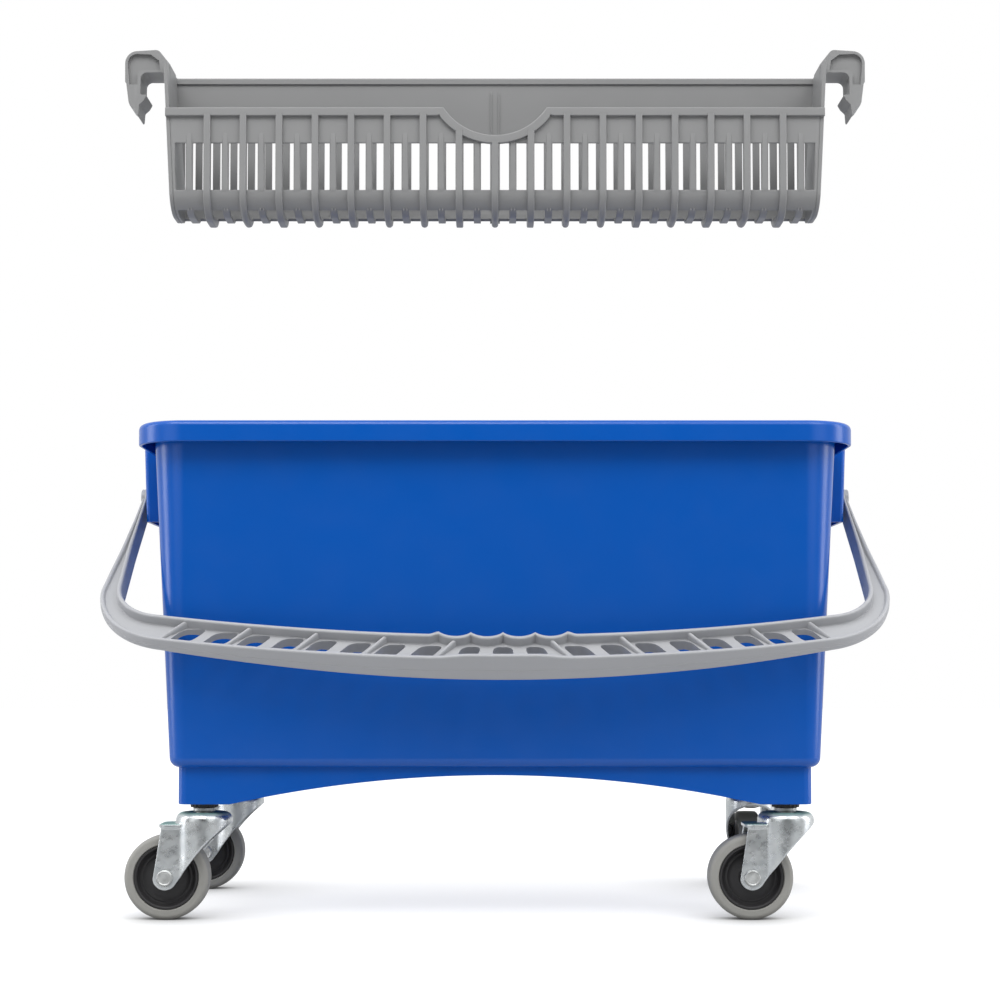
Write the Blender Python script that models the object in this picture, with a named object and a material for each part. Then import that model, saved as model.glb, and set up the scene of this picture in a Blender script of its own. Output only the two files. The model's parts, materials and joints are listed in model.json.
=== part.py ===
"""Rectangular cleaning bucket on four swivel castors, with a bail handle and a hanging drip basket.

The origin is on the floor, in the middle of the area the whole object covers. +X runs along the
bucket's length, -Y is the side the handle hangs on, +Z is up.
"""

import math

import bmesh
import bpy
from mathutils import Vector

MM = 0.001

# Tub. An inset is measured inwards from the rim's outer edge.
RIM_HALF_X = 253 * MM
RIM_HALF_Y = 135 * MM
RIM_CORNER_R = 36 * MM
RIM_TOP_Z = 350 * MM
RIM_BAND_H = 15 * MM
RIM_EDGE_R = 4 * MM
RIM_PLATE_T = 3 * MM
WALL_T = 2.5 * MM
BODY_TOP_INSET = 11 * MM
BODY_LOW_INSET = 23 * MM
BODY_LOW_Z = 115 * MM
BODY_EDGE_R = 7 * MM
FLOOR_TOP_Z = 111 * MM
FLOOR_T = 3 * MM
SKIRT_INSET = 29.5 * MM
SKIRT_LOW_Z = 82 * MM
SKIRT_CORNER_R = 8 * MM
ARCH_TOP_Z = 102.5 * MM
ARCH_HALF_CHORD = 187 * MM
ARCH_STEPS = 12

# Handle bosses at the ends of the tub
BOSS_OUT_X = 263 * MM
BOSS_IN_X = 238.5 * MM
BOSS_HALF_Y = 32 * MM
BOSS_LOW_Z = 287 * MM
BOSS_TOP_Z = 345 * MM
POCKET_IN_X = 243 * MM
PIVOT_Z = 308 * MM
STUD_R = 6 * MM
STUD_HEAD_R = 8 * MM
CLEAR = 0.3 * MM

# Castors
STEM_X = 207 * MM
STEM_Y = 88 * MM
TRAIL = 25.6 * MM
WHEEL_R = 30 * MM
WHEEL_W = 18 * MM
HUB_R = 22.9 * MM
AXLE_R = 3 * MM
SOCKET_BOSS_R = 11.5 * MM
SOCKET_BORE_R = 8.7 * MM
STEM_R = 5.5 * MM
LEG_IN_Y = 11.6 * MM
LEG_T = 2 * MM
DOME_R = 20 * MM
DOME_TOP_Z = 74 * MM
REAR_PLATE_Z = 66.5 * MM
FORK_GUTTER_X = -14.7 * MM
# The fork's front edge in side view, as (x, z) from the swivel axis and the floor
FORK_EDGE = [(-18.6 * MM, 25.1 * MM), (-12.6 * MM, 33.8 * MM), (0.0, 51 * MM), (20 * MM, 68.5 * MM)]
# Direction in degrees in which each castor trails, counted from -X
CASTORS = {
    "front_left": (-1, -1, 0),
    "front_right": (1, -1, 0),
    "rear_left": (-1, 1, 0),
    "rear_right": (1, 1, -90),
}

# Handle, in its own plane: r is the distance from the pivot, n stands square to the plane
HANDLE_TILT = math.radians(50.5)
HANDLE_REACH = 201.5 * MM
HANDLE_IN_REACH = 178 * MM
HANDLE_OUT_SAG = 18.5 * MM
HANDLE_IN_SAG = 17 * MM
SAG_AT_X = 205 * MM
HANDLE_OUT_X = 280.5 * MM
HANDLE_IN_X = 265 * MM
HANDLE_OUT_R = 58 * MM
HANDLE_IN_R = 34 * MM
FLANGE_UP = 8.5 * MM
ARM_OUT_UP = 4.5 * MM
ARM_OUT_DOWN = 6 * MM
ARM_IN_DOWN = 9 * MM
BAR_END_DOWN = (8 * MM, 3 * MM)
BAR_MID_DOWN = (13.5 * MM, 11 * MM)
BAR_WEB_DOWN = 7 * MM
FLANGE_T = 3 * MM
WEB_HALF_T = 1.25 * MM
RIB_X = (41 * MM, 90 * MM, 138 * MM, 187 * MM, 233 * MM)
RIB_SLANT = 13 * MM
RIB_T = 2.4 * MM

# Basket, from the middle of its underside
BASKET_HALF_TOP = 237.5 * MM
BASKET_HALF_LOW = 232 * MM
BASKET_HALF_Y = 22 * MM
BASKET_BACK_H = 110 * MM
BASKET_FRONT_H = 76 * MM
BASKET_EDGE_R = 16 * MM
BASKET_WALL = 2.2 * MM
BAR_PITCH = 12.85 * MM
SLOT_W = 7.8 * MM
SLOT_LOW = 18 * MM
FRONT_SLOT_HIGH = 51 * MM
BACK_SLOT_HIGH = 64 * MM
FLOOR_SLOT_HALF_Y = 5.5 * MM
SLOTS_PER_SIDE = 18
OUTER_RIBS_PER_SIDE = 8
OUTER_RIB_W = 4.9 * MM
OUTER_RIB_OUT = 3 * MM
OUTER_RIB_BACK_Z = 70 * MM
NOTCH_R = 44 * MM
NOTCH_DEPTH = 20 * MM
HOOK_GAP_TOP = 105 * MM
HOOK_HALF_Y = 12 * MM
BASKET_Y = -82 * MM
BASKET_REST_Z = 502 * MM

# The handle's front edge and the rear wheel's back edge are the object's ends along Y, and the
# origin is half-way between them.
FRONT_REACH = HANDLE_REACH * math.sin(HANDLE_TILT) + FLANGE_UP * math.cos(HANDLE_TILT)
BACK_REACH = STEM_Y + TRAIL + WHEEL_R
BUCKET_Y = (FRONT_REACH - BACK_REACH) / 2


def make_material(name, colour, roughness, metallic=0.0):
    material = bpy.data.materials.new(name)
    material.use_nodes = True
    shader = material.node_tree.nodes["Principled BSDF"]
    shader.inputs["Base Color"].default_value = (*colour, 1.0)
    shader.inputs["Roughness"].default_value = roughness
    shader.inputs["Metallic"].default_value = metallic
    return material


def make_empty(name, place, parent=None, turn=(0.0, 0.0, 0.0)):
    empty = bpy.data.objects.new(name, None)
    empty.location = place
    empty.rotation_euler = turn
    empty.parent = parent
    bpy.context.scene.collection.objects.link(empty)
    return empty


def make_object(name, bm, parent, material=None):
    """Turns a bmesh into an object with its normals out. Without a material it is a helper."""
    bmesh.ops.recalc_face_normals(bm, faces=bm.faces)
    mesh = bpy.data.meshes.new(name)
    bm.to_mesh(mesh)
    bm.free()
    obj = bpy.data.objects.new(name, mesh)
    obj.parent = parent
    bpy.context.scene.collection.objects.link(obj)
    if material:
        mesh.materials.append(material)
        mesh.shade_smooth()
        mesh.set_sharp_from_angle(angle=math.radians(35))
    else:
        obj.hide_render = True
        obj.display_type = "WIRE"
    return obj


def add_loft(bm, rings, closed=False):
    """Joins rings of points into one skin: capped at both ends, or closed back on itself."""
    loops = [[bm.verts.new(point) for point in ring] for ring in rings]
    pairs = list(zip(loops, loops[1:]))
    if closed:
        pairs.append((loops[-1], loops[0]))
    for low, high in pairs:
        for i in range(len(low)):
            j = (i + 1) % len(low)
            bm.faces.new((low[i], low[j], high[j], high[i]))
    if not closed:
        bm.faces.new(loops[0])
        bm.faces.new(loops[-1])


def add_box(bm, low, high):
    (x0, y0, z0), (x1, y1, z1) = low, high
    rings = [[(x0, y0, z), (x1, y0, z), (x1, y1, z), (x0, y1, z)] for z in (z0, z1)]
    add_loft(bm, rings)


def add_turned(bm, profile, steps, centre=(0.0, 0.0, 0.0), axis="Z", closed=False):
    """Turns a profile of (radius, height) points about an axis through centre."""
    rings = []
    for radius, height in profile:
        ring = []
        for i in range(steps):
            angle = 2 * math.pi * i / steps
            u = radius * math.cos(angle)
            v = radius * math.sin(angle)
            point = {"X": (height, u, v), "Y": (u, height, v), "Z": (u, v, height)}[axis]
            ring.append(Vector(point) + Vector(centre))
        rings.append(ring)
    add_loft(bm, rings, closed)


def add_prism(bm, outline, low, high, axis="Y"):
    """Extrudes an outline of two coordinates along the third, from low to high."""
    rings = []
    for level in (low, high):
        if axis == "Y":
            rings.append([(u, level, v) for u, v in outline])
        else:
            rings.append([(level, u, v) for u, v in outline])
    add_loft(bm, rings)


def add_boolean(obj, other, operation):
    modifier = obj.modifiers.new(other.name, "BOOLEAN")
    modifier.operation = operation
    modifier.solver = "EXACT"
    modifier.object = other


def arc(centre, radius, start, end, steps):
    """Points along an arc from start to end degrees, both included."""
    points = []
    for i in range(steps + 1):
        angle = math.radians(start + (end - start) * i / steps)
        points.append((centre[0] + radius * math.cos(angle), centre[1] + radius * math.sin(angle)))
    return points


# ---------------------------------------------------------------- tub


def tub_ring(inset, z, least_r):
    """A rounded rectangle at height z, inset from the rim's outer edge."""
    half_x = RIM_HALF_X - inset
    half_y = RIM_HALF_Y - inset
    radius = max(RIM_CORNER_R - inset, least_r)
    points = []
    for quarter, (sx, sy) in enumerate(((1, 1), (-1, 1), (-1, -1), (1, -1))):
        centre = (sx * (half_x - radius), sy * (half_y - radius))
        corner = arc(centre, radius, 90 * quarter, 90 * quarter + 90, 4)
        points.extend((x, y, z) for x, y in corner)
    return points


def tub_profile():
    """(inset, z) from the middle of the inner floor, over the rim, down to the floor's underside."""
    inner_low = BODY_LOW_INSET + WALL_T
    inner_top = BODY_TOP_INSET + WALL_T
    inner_edge_r = BODY_EDGE_R - MM
    points = arc((inner_low + inner_edge_r, FLOOR_TOP_Z + inner_edge_r), inner_edge_r, -90, -180, 2)
    lip_z = RIM_TOP_Z - RIM_EDGE_R
    points += arc((inner_top - RIM_EDGE_R / 2, RIM_TOP_Z - RIM_EDGE_R / 2), RIM_EDGE_R / 2, 0, 90, 1)
    points += arc((RIM_EDGE_R, lip_z), RIM_EDGE_R, 90, 180, 2)
    points.append((0.0, RIM_TOP_Z - RIM_BAND_H))
    points.append((WALL_T, RIM_TOP_Z - RIM_BAND_H))
    points.append((WALL_T, RIM_TOP_Z - RIM_PLATE_T))
    points.append((BODY_TOP_INSET, RIM_TOP_Z - RIM_PLATE_T))
    edge_centre = (BODY_LOW_INSET + BODY_EDGE_R, BODY_LOW_Z)
    end = 180 + math.degrees(math.acos((edge_centre[0] - SKIRT_INSET) / BODY_EDGE_R))
    points += arc(edge_centre, BODY_EDGE_R, 180, end, 2)
    points.append((SKIRT_INSET, SKIRT_LOW_Z))
    points.append((SKIRT_INSET + WALL_T, SKIRT_LOW_Z))
    points.append((SKIRT_INSET + WALL_T, FLOOR_TOP_Z - FLOOR_T))
    return points


def arch_outline():
    """Area under the arch of the skirt, as an outline of x and z."""
    rise = ARCH_TOP_Z - SKIRT_LOW_Z
    radius = (ARCH_HALF_CHORD**2 + rise**2) / (2 * rise)
    half_angle = math.degrees(math.asin(ARCH_HALF_CHORD / radius))
    curve = arc((0.0, ARCH_TOP_Z - radius), radius, 90 + half_angle, 90 - half_angle, ARCH_STEPS)
    low_z = SKIRT_LOW_Z - 10 * MM
    return curve + [(ARCH_HALF_CHORD, low_z), (-ARCH_HALF_CHORD, low_z)]


def make_tub(parent, material):
    bm = bmesh.new()
    add_loft(bm, [tub_ring(inset, z, SKIRT_CORNER_R - 3 * MM) for inset, z in tub_profile()])
    tub = make_object("bucket_shell", bm, parent, material)

    bm = bmesh.new()
    for side in (-1, 1):
        ends = sorted((side * BOSS_IN_X, side * BOSS_OUT_X))
        add_box(bm, (ends[0], -BOSS_HALF_Y, BOSS_LOW_Z), (ends[1], BOSS_HALF_Y, BOSS_TOP_Z))
    socket = [(SOCKET_BOSS_R, SKIRT_LOW_Z + MM), (SOCKET_BOSS_R, FLOOR_TOP_Z - FLOOR_T + MM)]
    for sx, sy, _ in CASTORS.values():
        add_turned(bm, socket, 16, (sx * STEM_X, sy * STEM_Y, 0.0))
    add_boolean(tub, make_object("tub_additions", bm, parent), "UNION")

    bm = bmesh.new()
    for side in (-1, 1):
        ends = sorted((side * POCKET_IN_X, side * (BOSS_OUT_X - WALL_T)))
        half_y = BOSS_HALF_Y - WALL_T
        low_z = BOSS_LOW_Z - 5 * MM
        add_box(bm, (ends[0], -half_y, low_z), (ends[1], half_y, BOSS_TOP_Z - WALL_T))
    bore = [(SOCKET_BORE_R, SKIRT_LOW_Z - 5 * MM), (SOCKET_BORE_R, FLOOR_TOP_Z - FLOOR_T - 4 * MM)]
    for sx, sy, _ in CASTORS.values():
        add_turned(bm, bore, 16, (sx * STEM_X, sy * STEM_Y, 0.0))
    add_boolean(tub, make_object("tub_pockets", bm, parent), "DIFFERENCE")

    bm = bmesh.new()
    hole_r = STUD_R + CLEAR
    for side in (-1, 1):
        ends = sorted((side * (BOSS_OUT_X - 2 * WALL_T), side * (BOSS_OUT_X + WALL_T)))
        add_turned(bm, [(hole_r, x) for x in ends], 16, (0.0, 0.0, PIVOT_Z), "X")
    add_prism(bm, arch_outline(), -RIM_HALF_Y, RIM_HALF_Y)
    add_boolean(tub, make_object("tub_openings", bm, parent), "DIFFERENCE")
    return tub


# ---------------------------------------------------------------- castors


def make_stem(name, parent, material):
    """Pintle with its collar above the fork and its riveted head below the fork's top plate."""
    bm = bmesh.new()
    head_r = 9 * MM
    neck_r = 6 * MM
    collar_r = 7.8 * MM
    profile = [
        (4 * MM, 64.5 * MM),
        (head_r, 66.5 * MM),
        (head_r, 68 * MM),
        (neck_r, 68 * MM),
        (neck_r, DOME_TOP_Z + CLEAR),
        (collar_r, DOME_TOP_Z + CLEAR),
        (collar_r, 75.4 * MM),
        (STEM_R, 75.4 * MM),
        (STEM_R, 98 * MM),
        (STEM_R - MM, 100 * MM),
    ]
    add_turned(bm, profile, 12)
    return make_object(name, bm, parent, material)


def make_stem_socket(name, parent, material):
    """Ribbed plastic sleeve that grips the stem in the tub."""
    bm = bmesh.new()
    sleeve_r = SOCKET_BORE_R - CLEAR
    bore_r = STEM_R + CLEAR
    rings = []
    steps = 20
    levels = (
        (9 * MM, 75.8 * MM, 0.6 * MM),
        (10 * MM, 77 * MM, 0.6 * MM),
        (10 * MM, 81.5 * MM, 0.6 * MM),
        (sleeve_r, 81.5 * MM, 0.0),
        (sleeve_r, 101 * MM, 0.0),
        (bore_r, 101 * MM, 0.0),
        (bore_r, 75.8 * MM, 0.0),
    )
    for radius, z, rib in levels:
        ring = []
        for i in range(steps):
            angle = 2 * math.pi * i / steps
            r = radius - (rib if i % 2 else 0.0)
            ring.append((r * math.cos(angle), r * math.sin(angle), z))
        rings.append(ring)
    add_loft(bm, rings, closed=True)
    return make_object(name, bm, parent, material)


def make_race(name, parent, material):
    """Ball race between the stem's head and the fork."""
    bm = bmesh.new()
    inner_r = 9.4 * MM
    outer_r = 11.2 * MM
    profile = [
        (inner_r, 66 * MM),
        (outer_r, 66 * MM),
        (outer_r, 69.7 * MM),
        (inner_r, 69.7 * MM),
    ]
    add_turned(bm, profile, 12, closed=True)
    return make_object(name, bm, parent, material)


def fork_leg_outline():
    """Side view of a leg's flat part: round the axle, up the gutter, back along the top."""
    boss_r = 8.6 * MM
    around = arc((-TRAIL, WHEEL_R), boss_r, 190, 325, 4)
    gutter_x = FORK_GUTTER_X + 0.8 * MM
    front = [(gutter_x, fork_edge_z(gutter_x)), (gutter_x, REAR_PLATE_Z)]
    return around + front + [(-28.3 * MM, REAR_PLATE_Z)]


def fork_edge_z(x):
    """Height of the fork's slanting front edge."""
    for (x0, z0), (x1, z1) in zip(FORK_EDGE, FORK_EDGE[1:]):
        if x <= x1:
            break
    return z0 + (z1 - z0) * (x - x0) / (x1 - x0)


def fork_wall_area():
    """Side view of where the dome's round wall stays: above the slanting edge and the rear plate."""
    far_x = DOME_R + MM
    over_z = DOME_TOP_Z + MM
    low_z = REAR_PLATE_Z - LEG_T / 2
    outline = [(FORK_GUTTER_X, low_z), (FORK_GUTTER_X, fork_edge_z(FORK_GUTTER_X))]
    outline += FORK_EDGE[2:]
    outline += [(far_x, fork_edge_z(far_x)), (far_x, over_z), (-far_x, over_z), (-far_x, low_z)]
    return outline


def make_fork(name, parent, material):
    """Stamped fork: a dome whose wall runs down into two legs, and a low plate behind it."""
    bm = bmesh.new()
    hole_r = 6.3 * MM
    edge = 4 * MM
    low_z = WHEEL_R - 5 * MM
    profile = [
        (DOME_R - LEG_T, low_z),
        (DOME_R, low_z),
        (DOME_R, DOME_TOP_Z - edge),
        (DOME_R - edge / 4, DOME_TOP_Z - edge / 4),
        (DOME_R - edge, DOME_TOP_Z),
        (hole_r, DOME_TOP_Z),
        (hole_r, DOME_TOP_Z - LEG_T),
        (DOME_R - edge - 0.5 * MM, DOME_TOP_Z - LEG_T),
        (DOME_R - LEG_T, DOME_TOP_Z - edge - 0.5 * MM),
    ]
    add_turned(bm, profile, 24, closed=True)
    fork = make_object(name, bm, parent, material)

    bm = bmesh.new()
    add_prism(bm, fork_wall_area(), -DOME_R - MM, DOME_R + MM)
    add_boolean(fork, make_object(name + "_wall_area", bm, parent), "INTERSECT")

    bm = bmesh.new()
    leg_out_y = LEG_IN_Y + LEG_T
    for low in (-leg_out_y, LEG_IN_Y):
        add_prism(bm, fork_leg_outline(), low, low + LEG_T)
    add_boolean(fork, make_object(name + "_legs", bm, parent), "UNION")

    bm = bmesh.new()
    half_y = leg_out_y - 0.1 * MM
    front_x = -16 * MM
    rear_x = -30 * MM
    corner = 6 * MM
    plate = [(front_x, -half_y), (front_x, half_y), (rear_x + corner, half_y)]
    plate += [(rear_x, half_y - corner), (rear_x, -half_y + corner), (rear_x + corner, -half_y)]
    levels = (REAR_PLATE_Z - LEG_T, REAR_PLATE_Z - 0.1 * MM)
    add_loft(bm, [[(x, y, z) for x, y in plate] for z in levels])
    add_boolean(fork, make_object(name + "_rear_plate", bm, parent), "UNION")

    bm = bmesh.new()
    reach = leg_out_y + MM
    hole = [(AXLE_R + CLEAR, -reach), (AXLE_R + CLEAR, reach)]
    add_turned(bm, hole, 10, (-TRAIL, 0.0, WHEEL_R), "Y")
    add_boolean(fork, make_object(name + "_hole", bm, parent), "DIFFERENCE")
    return fork


def make_axle(name, parent, material):
    """Rivet through both legs and the wheel, made about its own origin."""
    bm = bmesh.new()
    out = LEG_IN_Y + LEG_T + CLEAR
    head_r = 5.9 * MM
    head_t = 1.6 * MM
    profile = [
        (head_r - 1.5 * MM, -out - head_t),
        (head_r, -out - 0.6 * MM),
        (head_r, -out),
        (AXLE_R, -out),
        (AXLE_R, out),
        (head_r, out),
        (head_r, out + 0.6 * MM),
        (head_r - 1.5 * MM, out + head_t),
    ]
    add_turned(bm, profile, 10, axis="Y")
    return make_object(name, bm, parent, material)


def make_hub(name, parent, material):
    """Plastic wheel centre with a dished face on each side, made about its own origin."""
    bm = bmesh.new()
    half_w = WHEEL_W / 2 - MM
    bore_r = AXLE_R + CLEAR
    face = [
        (bore_r, half_w + 2.2 * MM),
        (7 * MM, half_w + 2.2 * MM),
        (8.5 * MM, 4 * MM),
        (16.5 * MM, 4 * MM),
        (20.7 * MM, half_w),
        (HUB_R, half_w),
    ]
    profile = [(r, -y) for r, y in face] + [(r, y) for r, y in reversed(face)]
    add_turned(bm, profile, 16, axis="Y", closed=True)
    return make_object(name, bm, parent, material)


def make_tread(name, parent, material):
    """Soft tyre around the hub, made about its own origin."""
    bm = bmesh.new()
    half_w = WHEEL_W / 2
    inner_r = HUB_R + CLEAR
    edge = 3 * MM
    profile = [
        (inner_r, -half_w),
        (WHEEL_R - edge, -half_w),
        (WHEEL_R, -half_w + edge),
        (WHEEL_R, half_w - edge),
        (WHEEL_R - edge, half_w),
        (inner_r, half_w),
    ]
    add_turned(bm, profile, 24, axis="Y", closed=True)
    return make_object(name, bm, parent, material)


def make_castor(place, bucket, colours):
    sx, sy, turn = CASTORS[place]
    fixed = make_empty("castor_mount_" + place, (sx * STEM_X, sy * STEM_Y, 0.0), bucket)
    swivel = make_empty("swivel_" + place, (0.0, 0.0, 0.0), fixed, (0.0, 0.0, math.radians(turn)))
    wheel = make_empty("wheel_" + place, (-TRAIL, 0.0, WHEEL_R), swivel)
    make_stem("stem_" + place, fixed, colours["steel"])
    make_stem_socket("stem_socket_" + place, fixed, colours["black_plastic"])
    make_race("ball_race_" + place, swivel, colours["steel"])
    make_fork("fork_" + place, swivel, colours["zinc"])
    make_axle("axle_rivet_" + place, wheel, colours["steel"])
    make_hub("wheel_hub_" + place, wheel, colours["black_plastic"])
    make_tread("tread_" + place, wheel, colours["tread"])


# ---------------------------------------------------------------- handle


def bar_out_r(x):
    return HANDLE_REACH - HANDLE_OUT_SAG * (x / SAG_AT_X) ** 2


def bar_in_r(x):
    return HANDLE_IN_REACH - HANDLE_IN_SAG * (x / SAG_AT_X) ** 2


def handle_stations():
    """Sections from the right pivot to the bar's middle, each with its outer and inner edge as
    (x, r), how far the outer flange rises, how far the flanges and the web reach down."""
    tab_in = BOSS_OUT_X + 0.8 * MM
    arm_in = HANDLE_IN_X - 0.2 * MM
    arm = [
        (268.3 * MM, tab_in, -9 * MM),
        (268.5 * MM, tab_in, 0.0),
        (271 * MM, tab_in + MM, 35 * MM),
        (274.5 * MM, arm_in, 70 * MM),
        (278 * MM, HANDLE_IN_X, 98 * MM),
    ]
    arm_down = (ARM_OUT_DOWN, ARM_IN_DOWN)
    stations = [((out, r), (inner, r), ARM_OUT_UP, arm_down, WEB_HALF_T) for out, inner, r in arm]
    out_x = HANDLE_OUT_X - HANDLE_OUT_R
    out_r = bar_out_r(out_x) - HANDLE_OUT_R
    in_x = HANDLE_IN_X - HANDLE_IN_R
    in_r = bar_in_r(in_x) - HANDLE_IN_R
    turns = 5
    outer_arc = arc((out_x, out_r), HANDLE_OUT_R, 0, 80, turns)
    inner_arc = arc((in_x, in_r), HANDLE_IN_R, 0, 80, turns)
    for i in range(turns + 1):
        share = i / turns
        down = [a + (b - a) * share for a, b in zip(arm_down, BAR_END_DOWN)]
        stations.append((outer_arc[i], inner_arc[i], ARM_OUT_UP, down, WEB_HALF_T))
    bar_steps = 8
    for i in range(bar_steps - 1, -1, -1):
        share = i / bar_steps
        x_out = outer_arc[-1][0] * share
        x_in = inner_arc[-1][0] * share
        grown = math.cos(share * math.pi / 2)
        down = [a + (b - a) * grown for a, b in zip(BAR_END_DOWN, BAR_MID_DOWN)]
        up = ARM_OUT_UP + (FLANGE_UP - ARM_OUT_UP) * grown
        web = min(BAR_WEB_DOWN, down[1] - MM)
        stations.append(((x_out, bar_out_r(x_out)), (x_in, bar_in_r(x_in)), up, down, web))
    return stations


def handle_ring(station):
    """Cross-section of the handle: a web between two flanges. Local axes are x, -n and -r."""
    (out_x, out_r), (in_x, in_r), out_up, (out_down, in_down), web_down = station
    outer = Vector((out_x, -out_r))
    inner = Vector((in_x, -in_r))
    across = (outer - inner).normalized() * FLANGE_T
    if (outer - inner).length < 3 * FLANGE_T:
        across = across * 0.6
    section = [
        (outer, -out_up),
        (outer - across, -out_up),
        (outer - across, -WEB_HALF_T),
        (inner + across, -WEB_HALF_T),
        (inner + across, -FLANGE_UP),
        (inner, -FLANGE_UP),
        (inner, in_down),
        (inner + across, in_down),
        (inner + across, web_down),
        (outer - across, web_down),
        (outer - across, out_down),
        (outer, out_down),
    ]
    return [(point.x, n, point.y) for point, n in section]


def mirrored(ring):
    return [(-x, y, z) for x, y, z in ring]


def add_slot_cutter(bm, centre_x, half_w):
    """A rounded slot through the web, leaning like the ribs beside it."""
    lean = RIB_SLANT / (HANDLE_REACH - HANDLE_IN_REACH) * (1 if centre_x > 0 else -1)
    if abs(centre_x) < RIB_X[0] / 2:
        lean = 0.0
    middle = (bar_out_r(centre_x) + bar_in_r(centre_x)) / 2
    half_r = 3.2 * MM
    outline = []
    for start in (0, 180):
        shift = half_r if start == 0 else -half_r
        for u, v in arc((0.0, shift), half_w, start, start + 180, 3):
            outline.append((centre_x + u + lean * v, -(middle + v)))
    add_prism(bm, outline, -3 * MM, BAR_WEB_DOWN + 3 * MM)


def make_handle(parent, material):
    half = [handle_ring(station) for station in handle_stations()]
    rings = half + [mirrored(ring) for ring in reversed(half[:-1])]
    bm = bmesh.new()
    add_loft(bm, rings)
    handle = make_object("handle", bm, parent, material)

    bm = bmesh.new()
    stud = [
        (STUD_HEAD_R - MM, BOSS_OUT_X - 9 * MM),
        (STUD_HEAD_R, BOSS_OUT_X - 7 * MM),
        (STUD_HEAD_R, BOSS_OUT_X - 5 * MM),
        (STUD_R, BOSS_OUT_X - 5 * MM),
        (STUD_R, BOSS_OUT_X + 2 * MM),
    ]
    for side in (-1, 1):
        add_turned(bm, [(r, side * x) for r, x in stud], 16, axis="X")
    for x in RIB_X:
        for side in (-1, 1):
            outline = []
            for r, edge in ((bar_in_r(x) + MM, -1), (bar_out_r(x) - MM, 1)):
                for width in (-edge, edge):
                    centre = side * (x + edge * RIB_SLANT / 2)
                    outline.append((centre + width * RIB_T / 2, -r))
            add_prism(bm, outline, -ARM_OUT_UP, 0.2 * MM)
    add_boolean(handle, make_object("handle_ribs", bm, parent), "UNION")

    bm = bmesh.new()
    for offset in (-18 * MM, 0.0, 18 * MM):
        add_slot_cutter(bm, offset, 4 * MM)
    for near, far in zip(RIB_X, RIB_X[1:]):
        for share in (0.33, 0.67):
            for side in (-1, 1):
                add_slot_cutter(bm, side * (near + (far - near) * share), 4.5 * MM)
    add_boolean(handle, make_object("handle_slots", bm, parent), "DIFFERENCE")
    return handle


# ---------------------------------------------------------------- basket


def basket_half_x(z):
    return BASKET_HALF_LOW + (BASKET_HALF_TOP - BASKET_HALF_LOW) * z / BASKET_BACK_H


def trough_path(out, front_z, back_z):
    """Section of the trough moved out from its outer face, as points of y and z."""
    radius = BASKET_EDGE_R + out
    front = (-BASKET_HALF_Y + BASKET_EDGE_R, BASKET_EDGE_R)
    back = (BASKET_HALF_Y - BASKET_EDGE_R, BASKET_EDGE_R)
    path = [(-BASKET_HALF_Y - out, front_z)]
    path += arc(front, radius, 180, 270, 2)
    path += arc(back, radius, 270, 360, 2)
    path.append((BASKET_HALF_Y + out, back_z))
    return path


def add_trough(bm, path, inset):
    rings = []
    for side in (-1, 1):
        rings.append([(side * (basket_half_x(z) - inset), y, z) for y, z in path])
    add_loft(bm, rings)


def hook_outline(side):
    """Side view of an end hook: out over the tub's rim and down to a pointed leg with a barb."""
    wall_x = BASKET_HALF_TOP - MM
    leg_in_x = 255.5 * MM
    leg_out_x = 265.5 * MM
    gap = HOOK_GAP_TOP
    outline = [
        (wall_x, gap - 8 * MM),
        (wall_x + 3 * MM, gap),
        (leg_in_x - 2 * MM, gap),
        (leg_in_x, gap - 2 * MM),
        (leg_in_x, gap - 15 * MM),
        (RIM_HALF_X + 0.8 * MM, gap - 16 * MM),
        (leg_in_x, gap - 21 * MM),
        (leg_in_x + 1.5 * MM, gap - 31 * MM),
        (leg_out_x - 4 * MM, gap - 21 * MM),
        (leg_out_x, gap - 8 * MM),
        (leg_out_x, gap + 8 * MM),
        (leg_out_x - 6 * MM, gap + 16 * MM),
        (wall_x + 7 * MM, gap + 16 * MM),
        (wall_x, gap + 5 * MM),
    ]
    return [(side * x, z) for x, z in outline]


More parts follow.
